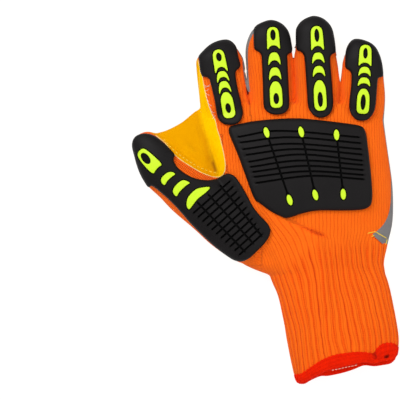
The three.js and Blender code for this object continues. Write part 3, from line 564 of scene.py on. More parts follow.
def knit_finish():
    colour = tuple(colours().knit)
    finish = Finish("knit", Sheen_Weight=0.04, Sheen_Roughness=0.5, Emission_Strength=0.08,
                    Specular_IOR_Level=0.04)
    wale, course, rib, tight_in_shade, crease = (
        finish.attribute(name) for name in ("wale", "course", "rib", "tight_in_shade", "crease"))
    wale_pitch, rib_pitch = sizes().wale_pitch / MM, sizes().rib_pitch / MM
    off_centre = abs((wale / wale_pitch).fraction() - 0.5) * 2
    loop = abs((course / 1.05 + off_centre * 0.42).fraction() - 0.5) * 2
    dome = 1 - off_centre * off_centre
    height = dome * (1 - loop * loop * 0.6)
    between_pairs = (1 - abs((wale * (math.pi / (2 * wale_pitch))).cosine())) ** 2
    valley = (1 - abs((wale * (math.pi / rib_pitch)).cosine())) ** 2.2 * rib
    streaks = finish.noise(1, 3, finish.node("ShaderNodeCombineXYZ", {
        "X": wale * 1.1, "Y": course * 0.12, "Z": 0.0}))
    blotches = finish.noise(60, 3)
    loose = (0.5 + loop * 0.7) * (1.5 - streaks)
    # The stitches drawn tight on the thumb show as rows of dark dots
    beads = (course * (math.tau / 1.25)).sine() * 0.5 + 0.5
    rows = ((1 - abs((wale * (math.pi / 1.65)).cosine())) * 2 - 0.3).held()
    dots = rows * (beads * 1.9 - 0.5).held() * tight_in_shade
    # Painted shade darkens the knit where its loops lie low, between pairs of columns, in the
    # valleys of the ribs, at dots in those valleys and by the crease shade; streaks and blotches
    # are its own uneven tone
    dark = ((1 - height) * 0.22 + between_pairs * loose * 0.42 + valley * loose * 0.62
            + (0.72 - streaks) * 0.3 + (0.5 - blotches) * 0.3 + dots * 0.6
            + valley * beads * 0.5 - tight_in_shade * 0.1
            + crease).held(0, 1.6)
    base = finish.mixed(dark.held(), colour, shade(colour, 0.78, 0.36, 0.3))
    # The thumb's upper side is mixed a little towards dark red as painted shade, and its dots
    # darker still
    base = finish.mixed((dots * 0.9 + tight_in_shade * 0.12).held(), base, (0.42, 0.03, 0.005))
    # The deepest painted shade goes almost black
    base = finish.mixed(((crease - 0.4) * 1.7).held(), base, (0.1, 0.01, 0.004))
    relief = height * 0.7 - between_pairs * 0.7 - valley * 0.9 + streaks * 0.4
    return finish.glows(base, Roughness=0.82 + 0.1 * height,
                        Normal=finish.bump(relief, 0.0004, 0.8))


def leather_finish():
    colour = tuple(colours().leather)
    finish = Finish("leather", Specular_IOR_Level=0.01, Emission_Strength=0.08)
    grain = finish.node("ShaderNodeTexVoronoi", {"Vector": finish.places(), "Scale": 1100},
                        feature="DISTANCE_TO_EDGE")
    pores, patches = finish.noise(2200, 2), finish.noise(30, 4)
    wrinkles, fine = finish.noise(95, 4), finish.noise(420, 3)
    # The hide's uneven tone and grain darken it, and so does the painted shade of the web given by
    # the shade mark
    dark = ((0.62 - patches) * 0.9 + (0.5 - wrinkles) * 0.5 + (0.5 - fine) * 0.5
            + (0.12 - grain).held() * 1.5 + finish.attribute("shade") * 0.9).held()
    base = finish.mixed(dark, colour, shade(colour, 0.76, 0.58, 1))
    # The crease shade mixes in painted shade, dark brown, along the leather's folds
    base = finish.mixed(finish.attribute("crease").held(), base, (0.3, 0.11, 0.004))
    height = grain.held(0, 0.14) * 3 + pores * 0.3 + wrinkles * 1.6 + fine * 0.5
    return finish.glows(base, Roughness=0.52 + patches * 0.2,
                        Normal=finish.bump(height, 0.00035, 0.5))


def pad_finish():
    colour = tuple(colours().pad)
    finish = Finish("moulded_rubber", Specular_IOR_Level=0.13)
    hollow = finish.attribute("hollow")
    speckle, patches = finish.noise(1500, 2), finish.noise(60, 3)
    base = finish.mixed(patches, shade(colour, 0.75), shade(colour, 1.4))
    # Painted shade darkens the grooves and the moats, which are also made rougher
    base = finish.mixed(hollow.held(), base, shade(colour, 0.12))
    return finish.feeds(Base_Color=base, Roughness=0.45 + patches * 0.2 + hollow * 0.3,
                        Normal=finish.bump(speckle, 0.00008, 0.35))


def insert_finish():
    colour = tuple(colours().insert)
    finish = Finish("coloured_rubber", Specular_IOR_Level=0.25, Emission_Strength=0.1)
    speckle, patches = finish.noise(1300, 2), finish.noise(120, 3)
    return finish.glows(finish.mixed(patches, shade(colour, 0.86), colour),
                        Roughness=0.4 + patches * 0.15,
                        Normal=finish.bump(speckle, 0.00006, 0.3))


def strip_finish():
    colour = tuple(colours().strip)
    finish = Finish("woven_strip", Sheen_Weight=0.05, Specular_IOR_Level=0.15)
    weave = ((finish.place("Y") * (math.tau / 0.0011)).sine()
             * (finish.place("X") * (math.tau / 0.0009)).sine())
    patches = finish.noise(160, 3)
    bright = (weave * 0.25 + patches * 0.7 + 0.15).held()
    base = finish.mixed(bright, shade(colour, 0.7), shade(colour, 1.25))
    return finish.feeds(Base_Color=base, Roughness=0.8 + patches * 0.15,
                        Normal=finish.bump(weave, 0.0002, 0.5))


def hem_finish():
    """Thread laid side by side round the hem, slanting across it."""
    colour = tuple(colours().hem)
    finish = Finish("hem_thread", Sheen_Weight=0.02, Emission_Strength=0.14,
                    Specular_IOR_Level=0.03)
    wale, course = finish.attribute("wale"), finish.attribute("course")
    slant = (course * (math.tau / 0.9) + wale * (math.tau / 2.4)).sine()
    rows = (wale * (math.tau / 2.6)).sine()
    patches = finish.noise(150, 3)
    # Painted shade darkens the troughs between the slanting threads and between the rows; the
    # patches are the thread's own uneven tone
    dark = ((0.62 - patches) * 0.9 - slant * 0.22 - rows * 0.12 + 0.1).held()
    base = finish.mixed(dark, colour, shade(colour, 0.62, 0.3, 0.4))
    # The crease shade mixes in painted shade in the hem's fold and hole
    base = finish.mixed(finish.attribute("crease").held(), base, (0.1, 0.004, 0.002))
    return finish.glows(base, Roughness=0.62 + patches * 0.25,
                        Normal=finish.bump(slant + rows * 0.5, 0.00028, 0.7))


def thread_finish(name, colour):
    """Thin sewing thread."""
    finish = Finish(name, Sheen_Weight=0.1, Specular_IOR_Level=0.25, Emission_Strength=0.03)
    fibres, patches = finish.noise(2600, 2), finish.noise(300, 2)
    base = finish.mixed((fibres * 0.6 + patches * 0.5).held(), shade(colour, 0.72), colour)
    return finish.glows(base, Roughness=0.6 + patches * 0.2,
                        Normal=finish.bump(fibres, 0.0001, 0.5))


def floor_finish():
    colour = tuple(colours().floor)
    finish = Finish("floor", Specular_IOR_Level=0.0, Emission_Strength=0.92,
                    Emission_Color=(1, 1, 1, 1))
    patches = finish.noise(3, 2)
    base = finish.mixed(patches, shade(colour, 0.99), colour)
    return finish.feeds(Base_Color=base, Roughness=0.9 + patches * 0.05)


# Places on the glove, seen from above, in millimetres

def on_pattern(points):
    """Places on the paper pattern, whose squares count to the right and down."""
    points = np.array(points, float)
    return DATUM + (points - KNUCKLE_MARK) * (PATTERN_SQUARE, -PATTERN_SQUARE)


def on_hand(across, along):
    return DATUM + np.array((across * KNUCKLE_WIDTH, -along * PALM_LENGTH))


def on_finger(finger, across, along, grow=0.0):
    length = finger["length"] * FINGER_LENGTH + grow
    return on_hand(finger["across"], 0) + (across * finger["width"] * FINGER_WIDTH, along * length)


def thumb_directions():
    angle = math.radians(THUMB_ANGLE)
    outward = np.array((math.cos(angle), math.sin(angle)))
    return outward, np.array((outward[1], -outward[0]))


def on_thumb(across, along, grow=0.0):
    outward, sideways = thumb_directions()
    reach = along * (THUMB_LENGTH + grow)
    return on_hand(*THUMB_ROOT) + outward * reach + sideways * across * THUMB_WIDTH


def unit(vectors):
    """Vectors of length one in the same directions."""
    return vectors / np.maximum(np.linalg.norm(vectors, axis=-1, keepdims=True), 1e-9)


def x_on(line, y):
    """How far across a line of points lies where it passes each height on the page."""
    return np.interp(-y, -line[:, 1], line[:, 0])


def y_on(line, x):
    """How high on the page a line of points lies where it passes each place across."""
    return np.interp(x, line[:, 0], line[:, 1])


def run_along(points):
    """How far along a line each of its points lies."""
    steps = np.linalg.norm(np.diff(points, axis=0), axis=1)
    return np.concatenate([[0], np.cumsum(steps)])


def flowing(rows, steps):
    """Rows of numbers with more rows between them, on a smooth curve through them all."""
    rows = np.array(rows, float)
    ends = np.vstack([2 * rows[0] - rows[1], rows, 2 * rows[-1] - rows[-2]])
    between = []
    for a, b, c, d in zip(ends, ends[1:], ends[2:], ends[3:]):
        for step in range(steps):
            t = step / steps
            between.append(0.5 * (2 * b + (c - a) * t + (2 * a - 5 * b + 4 * c - d) * t * t
                                  + (3 * b - a - 3 * c + d) * t ** 3))
    between.append(rows[-1])
    return np.array(between)


def rounded(points, passes=2):
    """A closed outline with its corners cut, again and again, into curves."""
    points = np.array(points, float)
    for _ in range(passes):
        after = np.roll(points, -1, axis=0)
        points = np.stack([points * 0.75 + after * 0.25, points * 0.25 + after * 0.75], 1)
        points = points.reshape(-1, 2)
    return points


def spaced(points, spacing, closed=True):
    """The same line with its points at even distances."""
    points = np.array(points, float)
    if closed:
        points = np.vstack([points, points[:1]])
    run = run_along(points)
    count = max(3, round(run[-1] / spacing))
    places = np.linspace(0, run[-1], count + 1)
    line = np.stack([np.interp(places, run, points[:, axis]) for axis in (0, 1)], 1)
    return line[:-1] if closed else line


def line_distance(places, line, closed=False):
    """How far each place is from a line of points."""
    line = np.array(line, float)
    starts, stops = line[:-1], line[1:]
    if closed:
        starts, stops = line, np.roll(line, -1, axis=0)
    best = np.full(len(places), 1e9)
    for start, stop in zip(starts, stops):
        run = stop - start
        share = np.clip(((places - start) @ run) / max(run @ run, 1e-12), 0, 1)
        away = np.linalg.norm(places - start - share[:, None] * run, axis=1)
        best = np.minimum(best, away)
    return best


def inside(places, outline):
    """Which places lie inside a closed outline."""
    within = np.zeros(len(places), bool)
    x, y = places[:, 0], places[:, 1]
    for (x1, y1), (x2, y2) in zip(outline, np.roll(outline, -1, axis=0)):
        crosses = (y1 > y) != (y2 > y)
        if crosses.any():
            at = (x2 - x1) * (y - y1) / (y2 - y1 if y2 != y1 else 1e-12) + x1
            within ^= crosses & (x < at)
    return within


def signed_distance(places, outline):
    """How far each place is inside an outline, and below zero outside it."""
    away = line_distance(places, outline, closed=True)
    return np.where(inside(places, outline), away, -away)


def offset(outline, distance):
    """A closed outline moved outwards by a distance."""
    outline = np.array(outline, float)
    before, after = np.roll(outline, 1, axis=0), np.roll(outline, -1, axis=0)
    run = unit(after - before)
    area = np.sum(outline[:, 0] * after[:, 1] - after[:, 0] * outline[:, 1])
    turn = 1 if area > 0 else -1
    return outline + turn * distance * np.stack([run[:, 1], -run[:, 0]], 1)


def ellipse(middle, half_across, half_along, lean, count=28):
    turns = np.linspace(0, math.tau, count, endpoint=False)
    lean = math.radians(lean)
    across, along = half_across * np.cos(turns), half_along * np.sin(turns)
    x = across * math.cos(lean) - along * math.sin(lean)
    y = across * math.sin(lean) + along * math.cos(lean)
    return np.array(middle) + np.stack([x, y], 1)


# Making and shaping meshes

def alone(piece):
    bpy.ops.object.select_all(action="DESELECT")
    piece.select_set(True)
    bpy.context.view_layer.objects.active = piece


def started(name, primitive, **settings):
    """A primitive, added with nothing else selected and named."""
    bpy.ops.object.select_all(action="DESELECT")
    primitive(**settings)
    piece = bpy.context.object
    piece.name = piece.data.name = name
    return piece


def modified(piece, kind, **settings):
    """Gives a piece a modifier and applies it."""
    modifier = piece.modifiers.new(kind.title(), kind)
    for setting, value in settings.items():
        setattr(modifier, setting, value)
    alone(piece)
    bpy.ops.object.modifier_apply(modifier=modifier.name)
    return piece


def copied(piece, name):
    twin = piece.copy()
    twin.data = piece.data.copy()
    twin.name = twin.data.name = name
    bpy.context.collection.objects.link(twin)
    return twin


def discarded(*items):
    for piece in items:
        mesh = piece.data
        bpy.data.objects.remove(piece)
        bpy.data.meshes.remove(mesh)


def cut(piece, operation, *cutters):
    """Cuts a piece by solids one after another, or joins them to it."""
    for cutter in cutters:
        modified(piece, "BOOLEAN", operation=operation, object=cutter, solver="MANIFOLD")
    return piece


def spent(piece, operation, *cutters):
    """Does the same and discards the solids."""
    cut(piece, operation, *cutters)
    discarded(*cutters)
    return piece


def vectors_of(items, key):
    flat = np.empty(len(items) * 3, np.float32)
    items.foreach_get(key, flat)
    return flat.reshape(-1, 3).astype(float)


def places_of(piece):
    return vectors_of(piece.data.vertices, "co")


def normals_of(piece):
    return vectors_of(piece.data.vertex_normals, "vector")


def moved_to(piece, places):
    piece.data.vertices.foreach_set("co", places.astype(np.float32).ravel())
    piece.data.update()


def marked(piece, **fields):
    """Keeps numbers for each point of a mesh, for its material."""
    for name, values in fields.items():
        layer = piece.data.attributes.new(name, "FLOAT", "POINT")
        layer.data.foreach_set("value", np.asarray(values, np.float32))


def edited(piece, *steps):
    """Runs edit mode steps on all of a piece."""
    alone(piece)
    bpy.ops.object.mode_set(mode="EDIT")
    bpy.ops.mesh.select_all(action="SELECT")
    for step in steps:
        step()
    bpy.ops.object.mode_set(mode="OBJECT")
    return piece


def outward():
    bpy.ops.mesh.normals_make_consistent(inside=False)


def soft_tube(name, rings):
    """A closed tube: a sphere whose rings of points are laid on the sections given."""
    sides, count = len(rings[0]), len(rings) + 1
    piece = started(name, bpy.ops.mesh.primitive_uv_sphere_add, segments=sides, ring_count=count)
    places = places_of(piece)
    ring = np.rint(np.arccos(np.clip(places[:, 2], -1, 1)) / math.pi * count).astype(int)
    side = np.rint(np.arctan2(places[:, 1], places[:, 0]) / math.tau * sides).astype(int) % sides
    # The sphere's two poles lie in the middle of the first and of the last section
    poles = [np.repeat(np.mean(ends, axis=0)[None], sides, axis=0)
             for ends in (rings[0], rings[-1])]
    moved_to(piece, np.array([poles[0], *rings, poles[1]])[ring, side] * MM)
    return edited(piece, outward)


def prism(name, outline, bottom, top):
    """An outline seen from above, made a solid between two heights."""
    piece = started(name, bpy.ops.mesh.primitive_circle_add, vertices=len(outline),
                    fill_type="NGON")
    heights = np.full((len(outline), 1), float(bottom))
    moved_to(piece, np.hstack([outline, heights]) * MM)
    rise = {"value": (0, 0, (top - bottom) * MM)}
    return edited(piece, lambda: bpy.ops.mesh.extrude_region_move(TRANSFORM_OT_translate=rise),
                  lambda: bpy.ops.mesh.select_all(action="SELECT"), outward)


def from_lists(name, places, faces):
    """A mesh from its own points, laid over a primitive that gives way to it."""
    piece = started(name, bpy.ops.mesh.primitive_plane_add)
    piece.data.clear_geometry()
    piece.data.from_pydata([tuple(place) for place in places], [], faces)
    piece.data.update()
    return piece


def finished(piece, degrees, material, slot, *nodes):
    """Gives a piece its shading and finish, hangs it under the root body and hides the solids that
    it stands for.
    """
    alone(piece)
    bpy.ops.object.shade_smooth_by_angle(angle=math.radians(degrees))
    piece.data.materials.clear()
    piece.data.materials.append(material)
    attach(piece, "root")
    if nodes:
        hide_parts(*nodes)


# The body of the glove

def soft_shape(turns):
    """Round a soft tube: which part lies below the seam, how far across and how far up."""
    low = np.sin(turns) < -1e-9
    roundness = np.where(low, BOTTOM_ROUNDNESS, TOP_ROUNDNESS)
    across = np.sign(np.cos(turns)) * np.abs(np.cos(turns)) ** (2 / roundness)
    return low, across, np.abs(np.sin(turns)) ** (2 / roundness)


def soft_heights(low, up, rise, floor):
    """The heights round a soft tube that rises over the seam and is flat on the floor."""
    drop = np.maximum(floor, SEAM_HEIGHT - (SEAM_HEIGHT - floor) * BOTTOM_FLATNESS * up)
    return np.where(low, drop, SEAM_HEIGHT + rise * up)


def section(left, right, top, bottom, grow, sides):
    """One section of a soft tube, between two points at the height of the seam."""
    width = max(np.linalg.norm(right - left), 1e-6)
    half = max(0.4, width / 2 + grow)
    low, across, up = soft_shape(np.linspace(0, math.tau, sides, endpoint=False))
    flat = (left + right) / 2 + (right - left) / width * (half * across)[:, None]
    rise = max(0.3, top - SEAM_HEIGHT + grow)
    return np.column_stack([flat, soft_heights(low, up, rise, bottom - grow)])


def tapered(left, right, height, full_width, grow, sides):
    """A section near a fingertip, which rises from the surface as it thins."""
    width = np.linalg.norm(right - left)
    fullness = min(1, width / (0.85 * full_width)) ** 0.55
    top = SEAM_HEIGHT + (height - SEAM_HEIGHT) * fullness
    return section(left, right, top, SEAM_HEIGHT * (1 - fullness), grow, sides)


def smoothstep(low, high, values):
    """A share that rises smoothly from 0 to 1 between two values."""
    share = np.clip((values - low) / (high - low), 0, 1)
    return share * share * (3 - 2 * share)


def finger_tube(name, grow, sides):
    """A finger, trimmed towards its tip and sunk in the hand where it starts."""
    finger = FINGERS[name]
    width = finger["width"] * FINGER_WIDTH
    rings = []
    for along, to_left, to_right in flowing(finger["rows"], 6):
        trim = TIP_TRIM * smoothstep(0.6, 0.92, along)
        along -= trim * 1.7 / (finger["length"] * FINGER_LENGTH)
        trim = trim / width
        left = on_finger(finger, min(0, trim - to_left), along, grow)
        right = on_finger(finger, to_right - trim, along, grow)
        height = FINGER_HEIGHT - ROOT_SINK * smoothstep(0.02, -0.38, along)
        rings.append(tapered(left, right, height, width, grow, sides))
    return soft_tube(name, rings)


def thumb_tube(grow, sides):
    return soft_tube("thumb", [
        tapered(on_thumb(-lower, along, grow), on_thumb(upper, along, grow), THUMB_HEIGHT,
                THUMB_WIDTH, grow, sides)
        for along, lower, upper in flowing(THUMB_ROWS, 4)])


def hand_tube(grow, sides):
    rings = []
    for i, (along, left, right, height) in enumerate(flowing(HAND_ROWS, 4)):
        ends = [on_hand(-left, along), on_hand(right, along)]
        if i == 0:
            ends = [end + (0, grow) for end in ends]
        rings.append(section(*ends, height * HAND_HEIGHT, 0, grow, sides))
    return soft_tube("hand", rings)


def web_tube(grow, sides):
    """The web, from the thumb's inner side to the hand's."""
    rows = [(on_thumb(o[1], o[0]), on_thumb(i[1], i[0])) for o, i in WEB_ON_THUMB]
    rows += [(on_hand(*o), on_hand(*i)) for o, i in WEB_ON_HAND]
    rows = flowing(np.array(rows).reshape(-1, 4), 3).reshape(-1, 2, 2)
    rings = [section(outer, inner, WEB_HEIGHT, 0, grow, sides) for outer, inner in rows]
    return soft_tube("web", rings)


def cuff_row(along):
    """The two ends and the height of the cuff's section at a share of its length."""
    rows = flowing(CUFF_ROWS, 8)
    shift, half, tilt, height = (np.interp(along, rows[:, 0], rows[:, i]) for i in range(1, 5))
    angle = math.radians(CUFF_TILT * tilt)
    to_right = np.array((math.cos(angle), math.sin(angle)))
    middle = on_hand(CUFF_ACROSS, 1) + (shift * CUFF_WIDTH, -along * CUFF_LENGTH)
    reach = to_right * half * CUFF_WIDTH
    return middle - reach, middle + reach, height * CUFF_HEIGHT


def cuff_tube(grow, end, sides):
    return soft_tube("cuff", [
        section(left, right, top, 0, grow, sides)
        for left, right, top in map(cuff_row, np.linspace(-0.12, end, 24))])


def glove_body(name, grow, end, voxel, sides):
    """The soft tubes of the hand joined into one skin."""
    tubes = [hand_tube(grow, sides), thumb_tube(grow, sides), web_tube(grow, sides),
             cuff_tube(grow, end, sides)]
    tubes += [finger_tube(finger, grow, sides) for finger in FINGERS]
    body = tubes[0]
    alone(body)
    for tube in tubes:
        tube.select_set(True)
    bpy.ops.object.join()
    body.name = body.data.name = name
    modified(body, "REMESH", mode="VOXEL", voxel_size=voxel * MM)
    return modified(body, "SMOOTH", factor=0.5, iterations=3)


def cuff_ribs(x, y):
    """The place of each point across the cuff, counted along the lines of its ribs."""
    rows = flowing(RIB_ROWS, 4)
    lines = [x_on(on_pattern(np.column_stack([column, rows[:, 0]])), y)
             for column in rows[:, 1:].T]
    found = np.full(len(x), RIB_PLACES[0]) + DATUM[0]
    found += np.minimum(x - lines[0], 0) + np.maximum(x - lines[-1], 0)
    for left, right, start, stop in zip(lines, lines[1:], RIB_PLACES, RIB_PLACES[1:]):
        found += np.clip((x - left) / (right - left), 0, 1) * (stop - start)
    return found


def hanging(from_middle, height, z):
    """How much further round the sides a place lies than it seems from above."""
    return np.sign(from_middle) * np.maximum(0, height - 1 - z)


def knit_marks(places):
    """The column and row of stitches at each place, how ribbed it is, and if it lies on the thumb's
    upper side, whose stitches are drawn tight and which is painted in shade.
    """
    x, y, z = places.T
    knuckles, wrist = DATUM[1], DATUM[1] - PALM_LENGTH

    axes = np.array([on_finger(finger, 0, 0)[0] for finger in FINGERS.values()])
    tops, feet = np.array([on_pattern(finger["pad"]) for finger in FINGERS.values()]).swapaxes(0, 1)
    leans = (tops[:, 0] - feet[:, 0]) / (tops[:, 1] - feet[:, 1])
    straight = x - np.interp(x, axes, leans) * np.maximum(0, y - knuckles + 12)
    near = np.argmin(np.abs(straight[:, None] - axes), axis=1)
    finger_drop = hanging(straight - axes[near], FINGER_HEIGHT, z)

    cuff, along = flowing(CUFF_ROWS, 6), (wrist - y) / CUFF_LENGTH
    shift = y_on(cuff, along) * CUFF_WIDTH * smoothstep(-0.12, 0.1, along)
    rows = np.array(HAND_ROWS)
    down = rows[:, 0] * PALM_LENGTH - knuckles
    middles = DATUM[0] + (rows[:, 2] - rows[:, 1]) / 2 * KNUCKLE_WIDTH
    middle = np.interp(-y, down, middles) + shift
    hand_drop = hanging(x - middle, np.interp(-y, down, rows[:, 3] * HAND_HEIGHT), z)

    fingers = smoothstep(knuckles - 8, knuckles + 8, y)
    wale = straight + fingers * finger_drop + (1 - fingers) * hand_drop
    wale += np.where(x < x_on(on_pattern(WALE_SPLIT), y), SPLIT_SHIFT, 0)
    ribs = cuff_ribs(x, y) + np.where(z < 6, 0, hand_drop)
    border = on_pattern(FOLD_LINE)
    soft = np.interp(x, border[:, 0], FOLD_SOFTNESS)
    ribbed = 1 - smoothstep(-soft, soft, y - y_on(border, x))
    wale = wale * (1 - ribbed) + ribs * ribbed
    wale += 0.3 * np.sin(y / 13 + x / 21) + 0.2 * np.sin(y / 5.1 - x / 9)
    wale += 0.12 * np.sin(y / 1.9 + x / 3.3)
    begins = y_on(on_pattern(RIB_START), x)
    rib = 1 - smoothstep(begins - 11, begins, y)

    outward, sideways = thumb_directions()
    from_root = places[:, :2] - on_hand(*THUMB_ROOT)
    side = from_root @ sideways
    thumb = (x < x_on(on_pattern(THUMB_EDGE), y)) & (y < knuckles - 22) & (y > wrist + 3)
    wale = np.where(thumb, side + hanging(side, THUMB_HEIGHT, z), wale)
    course = np.where(thumb, from_root @ outward, y)
    return {"wale": wale, "course": course, "rib": np.where(thumb, 0, rib),
            "tight_in_shade": thumb & (side > 0)}


def crease_shape(places, line, width, fade):
    """How deep in a crease each place lies, from 0 to 1, fading at both ends of its line."""
    line, flat = on_pattern(line), places[:, :2]
    ends = np.minimum(*(np.linalg.norm(flat - end, axis=1) for end in (line[0], line[-1])))
    depth = np.exp(-(line_distance(flat, line) / width) ** 2)
    return depth * (0.15 + 0.85 * smoothstep(0, fade, ends))


def deepest_crease(places, creases):
    """The deepest at each place of some creases, each a line, a width, a fade and a depth."""
    return np.max([depth * crease_shape(places, line, width, fade)
                   for line, width, fade, depth in creases], axis=0)


def on_back(places, fade=2):
    """How much each place is above the seam."""
    return smoothstep(SEAM_HEIGHT - 1, SEAM_HEIGHT + fade, places[:, 2])


def in_web(places, far, near):
    """How near each place is to the deepest end of the web's crease."""
    away = np.linalg.norm(places[:, :2] - on_pattern(WEB_CREASE)[-1], axis=1)
    return smoothstep(far, near, away)


def palm_lines():
    """The seams sewn across the palm and the undersides of the fingers."""
    lines = [flowing(on_pattern(seam), 6) for seam in PALM_SEAMS]
    for name, shares in FINGER_SEAMS.items():
        finger = FINGERS[name]
        for share in shares:
            bow = 0.04 if share < 0.8 else 0.09
            lines.append(flowing([on_finger(finger, across, share + bow * (1 - (across / 0.5) ** 2))
                                  for across in (-0.46, -0.3, -0.1, 0.1, 0.3, 0.46)], 4))
    lines.append(np.array([on_hand(*place) for place in THUMB_SEAM]))
    return lines


def lifted(places, clearance):
    """Raises the underside of the cuff off the floor where the hem passes under it."""
    near = smoothstep(-16, -4, below_hem_edge(places))
    places[:, 2] = np.maximum(places[:, 2], clearance * near)
    return places


def hem_frame():
    """The hem's left end and the direction of its mouth, seen from above."""
    first, last = on_pattern(HEM_TOP[0]), on_pattern(HEM_TOP[-1])
    width = np.linalg.norm(last - first)
    to_right = (last - first) / width
    return first, width, to_right, np.array((to_right[1], -to_right[0]))


def hem_curve(points):
    """How far a line of the hem lies below its frame, at even shares across it."""
    first, width, to_right, down = hem_frame()
    line = flowing(on_pattern(points), 6) - first
    return np.interp(HEM_SHARES, line @ to_right / width, line @ down)


def below_hem_edge(places):
    """How far each place lies below the upper edge of the hem."""
    first, width, to_right, down = hem_frame()
    flat = places[:, :2] - first
    return flat @ down - np.interp(flat @ to_right / width, HEM_SHARES, hem_curve(HEM_TOP))


# The outer skin, and the grown skins to lay things on, kept from one step to the next
STORE = {}


def outer_body():
    """The glove's outer skin, ribbed on the cuff and creased in the web."""
    if "outer" in STORE:
        return STORE["outer"]
    body = glove_body("outer", 0, **OUTER_TUBES)
    spent(body, "DIFFERENCE", *(prism("finger_gap", on_pattern(outline), BELOW, ABOVE)
                                for outline in FINGER_GAPS))
    places = places_of(body) / MM
    x, y, z = places.T
    above, down = on_back(places), in_web(places, 42, 8)
    marks = knit_marks(places)
    pitch, depth = sizes().rib_pitch / MM, sizes().rib_depth / MM
    move = marks["rib"] * depth * (np.abs(np.cos(math.pi * marks["wale"] / pitch)) ** 0.6 - 0.6)

    web = crease_shape(places, WEB_CREASE, 1.2, 5)
    valley = crease_shape(places, WEB_CREASE, 4.5, 12)
    ridge = crease_shape(places, np.array(WEB_CREASE) - (9, -2), 3.5, 12)
    move += above * (ridge * 0.7 - web * (0.3 + 1.1 * down) - valley * 0.9 * down)
    for line in WEB_FOLDS:
        move -= above * 0.6 * crease_shape(places, line, 1.3, 6)
    fold = crease_shape(places, KNIT_FOLD, 1.1, 6)
    bank = crease_shape(places, np.array(KNIT_FOLD) + (-2, 4.5), 2.8, 10)
    move += above * (0.7 * bank - 1.1 * fold)
    slits = deepest_crease(places, [(CROTCH_HOLE, 0.9, 2, 1.0),
                                    *((line, 1.0, 5, 0.5) for line in CROTCHES.values())])
    move -= above * np.minimum(slits, np.maximum(z - SEAM_HEIGHT - 0.6, 0))
    swell = np.sin(x / 9.5 + y / 17) + np.sin(x / 23 - y / 11 + 1.3)
    move += above * smoothstep(-60, -20, x) * 0.35 * swell * 0.5
    seams = np.max([np.exp(-(line_distance(places[:, :2], line) / 0.9) ** 2)
                    for line in palm_lines()], axis=0)
    move -= (1 - smoothstep(3, 6, z)) * 0.9 * seams
    places += normals_of(body) * np.maximum(move, -DEEPEST)[:, None]
    moved_to(body, lifted(places, HEM_CLEARANCE) * MM)
    STORE["outer"] = body
    return body


def skin_at(grow):
    """The outer skin grown by some millimetres, to lay things on."""
    key = ("skin", grow)
    if key not in STORE:
        body = outer_body()
        places = places_of(body) + normals_of(body) * grow * MM
        polygons = [tuple(polygon.vertices) for polygon in body.data.polygons]
        STORE[key] = BVHTree.FromPolygons([Vector(place) for place in places], polygons)
    return STORE[key]


def dropped(flat, grow, lowest):
    """The heights at which things dropped from above meet the grown skin."""
    skin, down = skin_at(grow), Vector((0, 0, -1))
    hits = [skin.ray_cast(Vector((x * MM, y * MM, RAY_START)), down)[0] for x, y in flat]
    return np.array([lowest if hit is None else max(lowest, hit.z / MM) for hit in hits])


def raised(flat):
    """The heights at which things raised from below meet the underside of the glove."""
    skin, up = skin_at(0), Vector((0, 0, 1))
    hits = [skin.ray_cast(Vector((x * MM, y * MM, -RAY_START)), up)[0] for x, y in flat]
    return np.array([99 if hit is None else hit.z / MM for hit in hits])


def laid(flat, grow, lowest, bow=0.0):
    """A line seen from above, laid on the grown skin."""
    return np.column_stack([flat, dropped(flat, grow, lowest) + bow])


def slab(name, bottom, end=REACH[1]):
    """A block wider than the glove, from beyond the cuff up the page to an end."""
    low, high = (-REACH[0], -REACH[1]), (REACH[0], end)
    corners = np.array((low, (high[0], low[1]), high, (low[0], high[1])))
    return prism(name, corners, bottom, SKY)


def leather_flap(margin):
    """Where the leather comes up round the index finger and the web."""
    edge = spaced(flowing(on_pattern(LEATHER_EDGE), 3), 1.2, closed=False)
    outside = [on_hand(-1.3, 0.1), on_hand(-1.3, -0.7), on_hand(-0.5, -0.7)]
    outline = offset(np.vstack([edge, outside]), margin)
    return prism("leather_flap", outline, SEAM_HEIGHT - 1.6, ABOVE)


def strip_region(name, margin):
    """Where a strip between two fingers shows in the glove's wall."""
    line = on_pattern(CROTCHES[name])
    half, reach = 4.4 + margin, STRIP_HEIGHT / 2 + margin
    free = np.vstack([line[0] + unit(line[0] - line[-1]) * 46, line[0] + (0, 1)])
    outline = np.vstack([free - (half, 0), free[::-1] + (half, 0)])
    region = prism(name, outline, SEAM_HEIGHT - reach, SEAM_HEIGHT + reach)
    outline = np.vstack([line + (0, 2) - (half, 0), line[::-1] + (half, 0)])
    spent(region, "UNION",
          prism("low", outline, SEAM_HEIGHT - reach, SEAM_HEIGHT + 0.2 + margin))
    if name == "fourchette_index_middle":
        outline = offset(spaced(rounded(on_pattern(MIDDLE_FINGER_STRIP)), 1.2), margin)
        spent(region, "UNION", prism("upright", outline, SEAM_HEIGHT - reach, ABOVE))
    return region


def side_region(margin):
    """Where the strip along the little finger's side shows, with its wedge at the wrist."""
    finger = FINGERS["little"]
    outline = np.array([
        on_finger(finger, 0.14, 1.2), on_finger(finger, 0.14, 0), on_hand(0.42, 0.2),
        on_hand(0.42, 0.8), on_hand(0.7, 0.8), on_finger(finger, 1.4, 1.2)])
    reach = STRIP_HEIGHT / 2 + margin
    band = prism("side_strip", offset(outline, margin), SEAM_HEIGHT - reach, SEAM_HEIGHT + reach)
    wedge = offset(spaced(flowing(on_pattern(WEDGE_EDGE), 3), 1.5), margin)
    return spent(band, "UNION", prism("wedge", wedge, SEAM_HEIGHT - reach, ABOVE))


def thumb_region(margin):
    seam = np.array([on_hand(*place) for place in THUMB_SEAM])
    outside = [on_hand(-1.4, 1.1), on_hand(-1.4, -0.4), on_hand(-0.5, -0.4)]
    return prism("thumb_region", offset(np.vstack([seam, outside]), margin), BELOW, SKY)


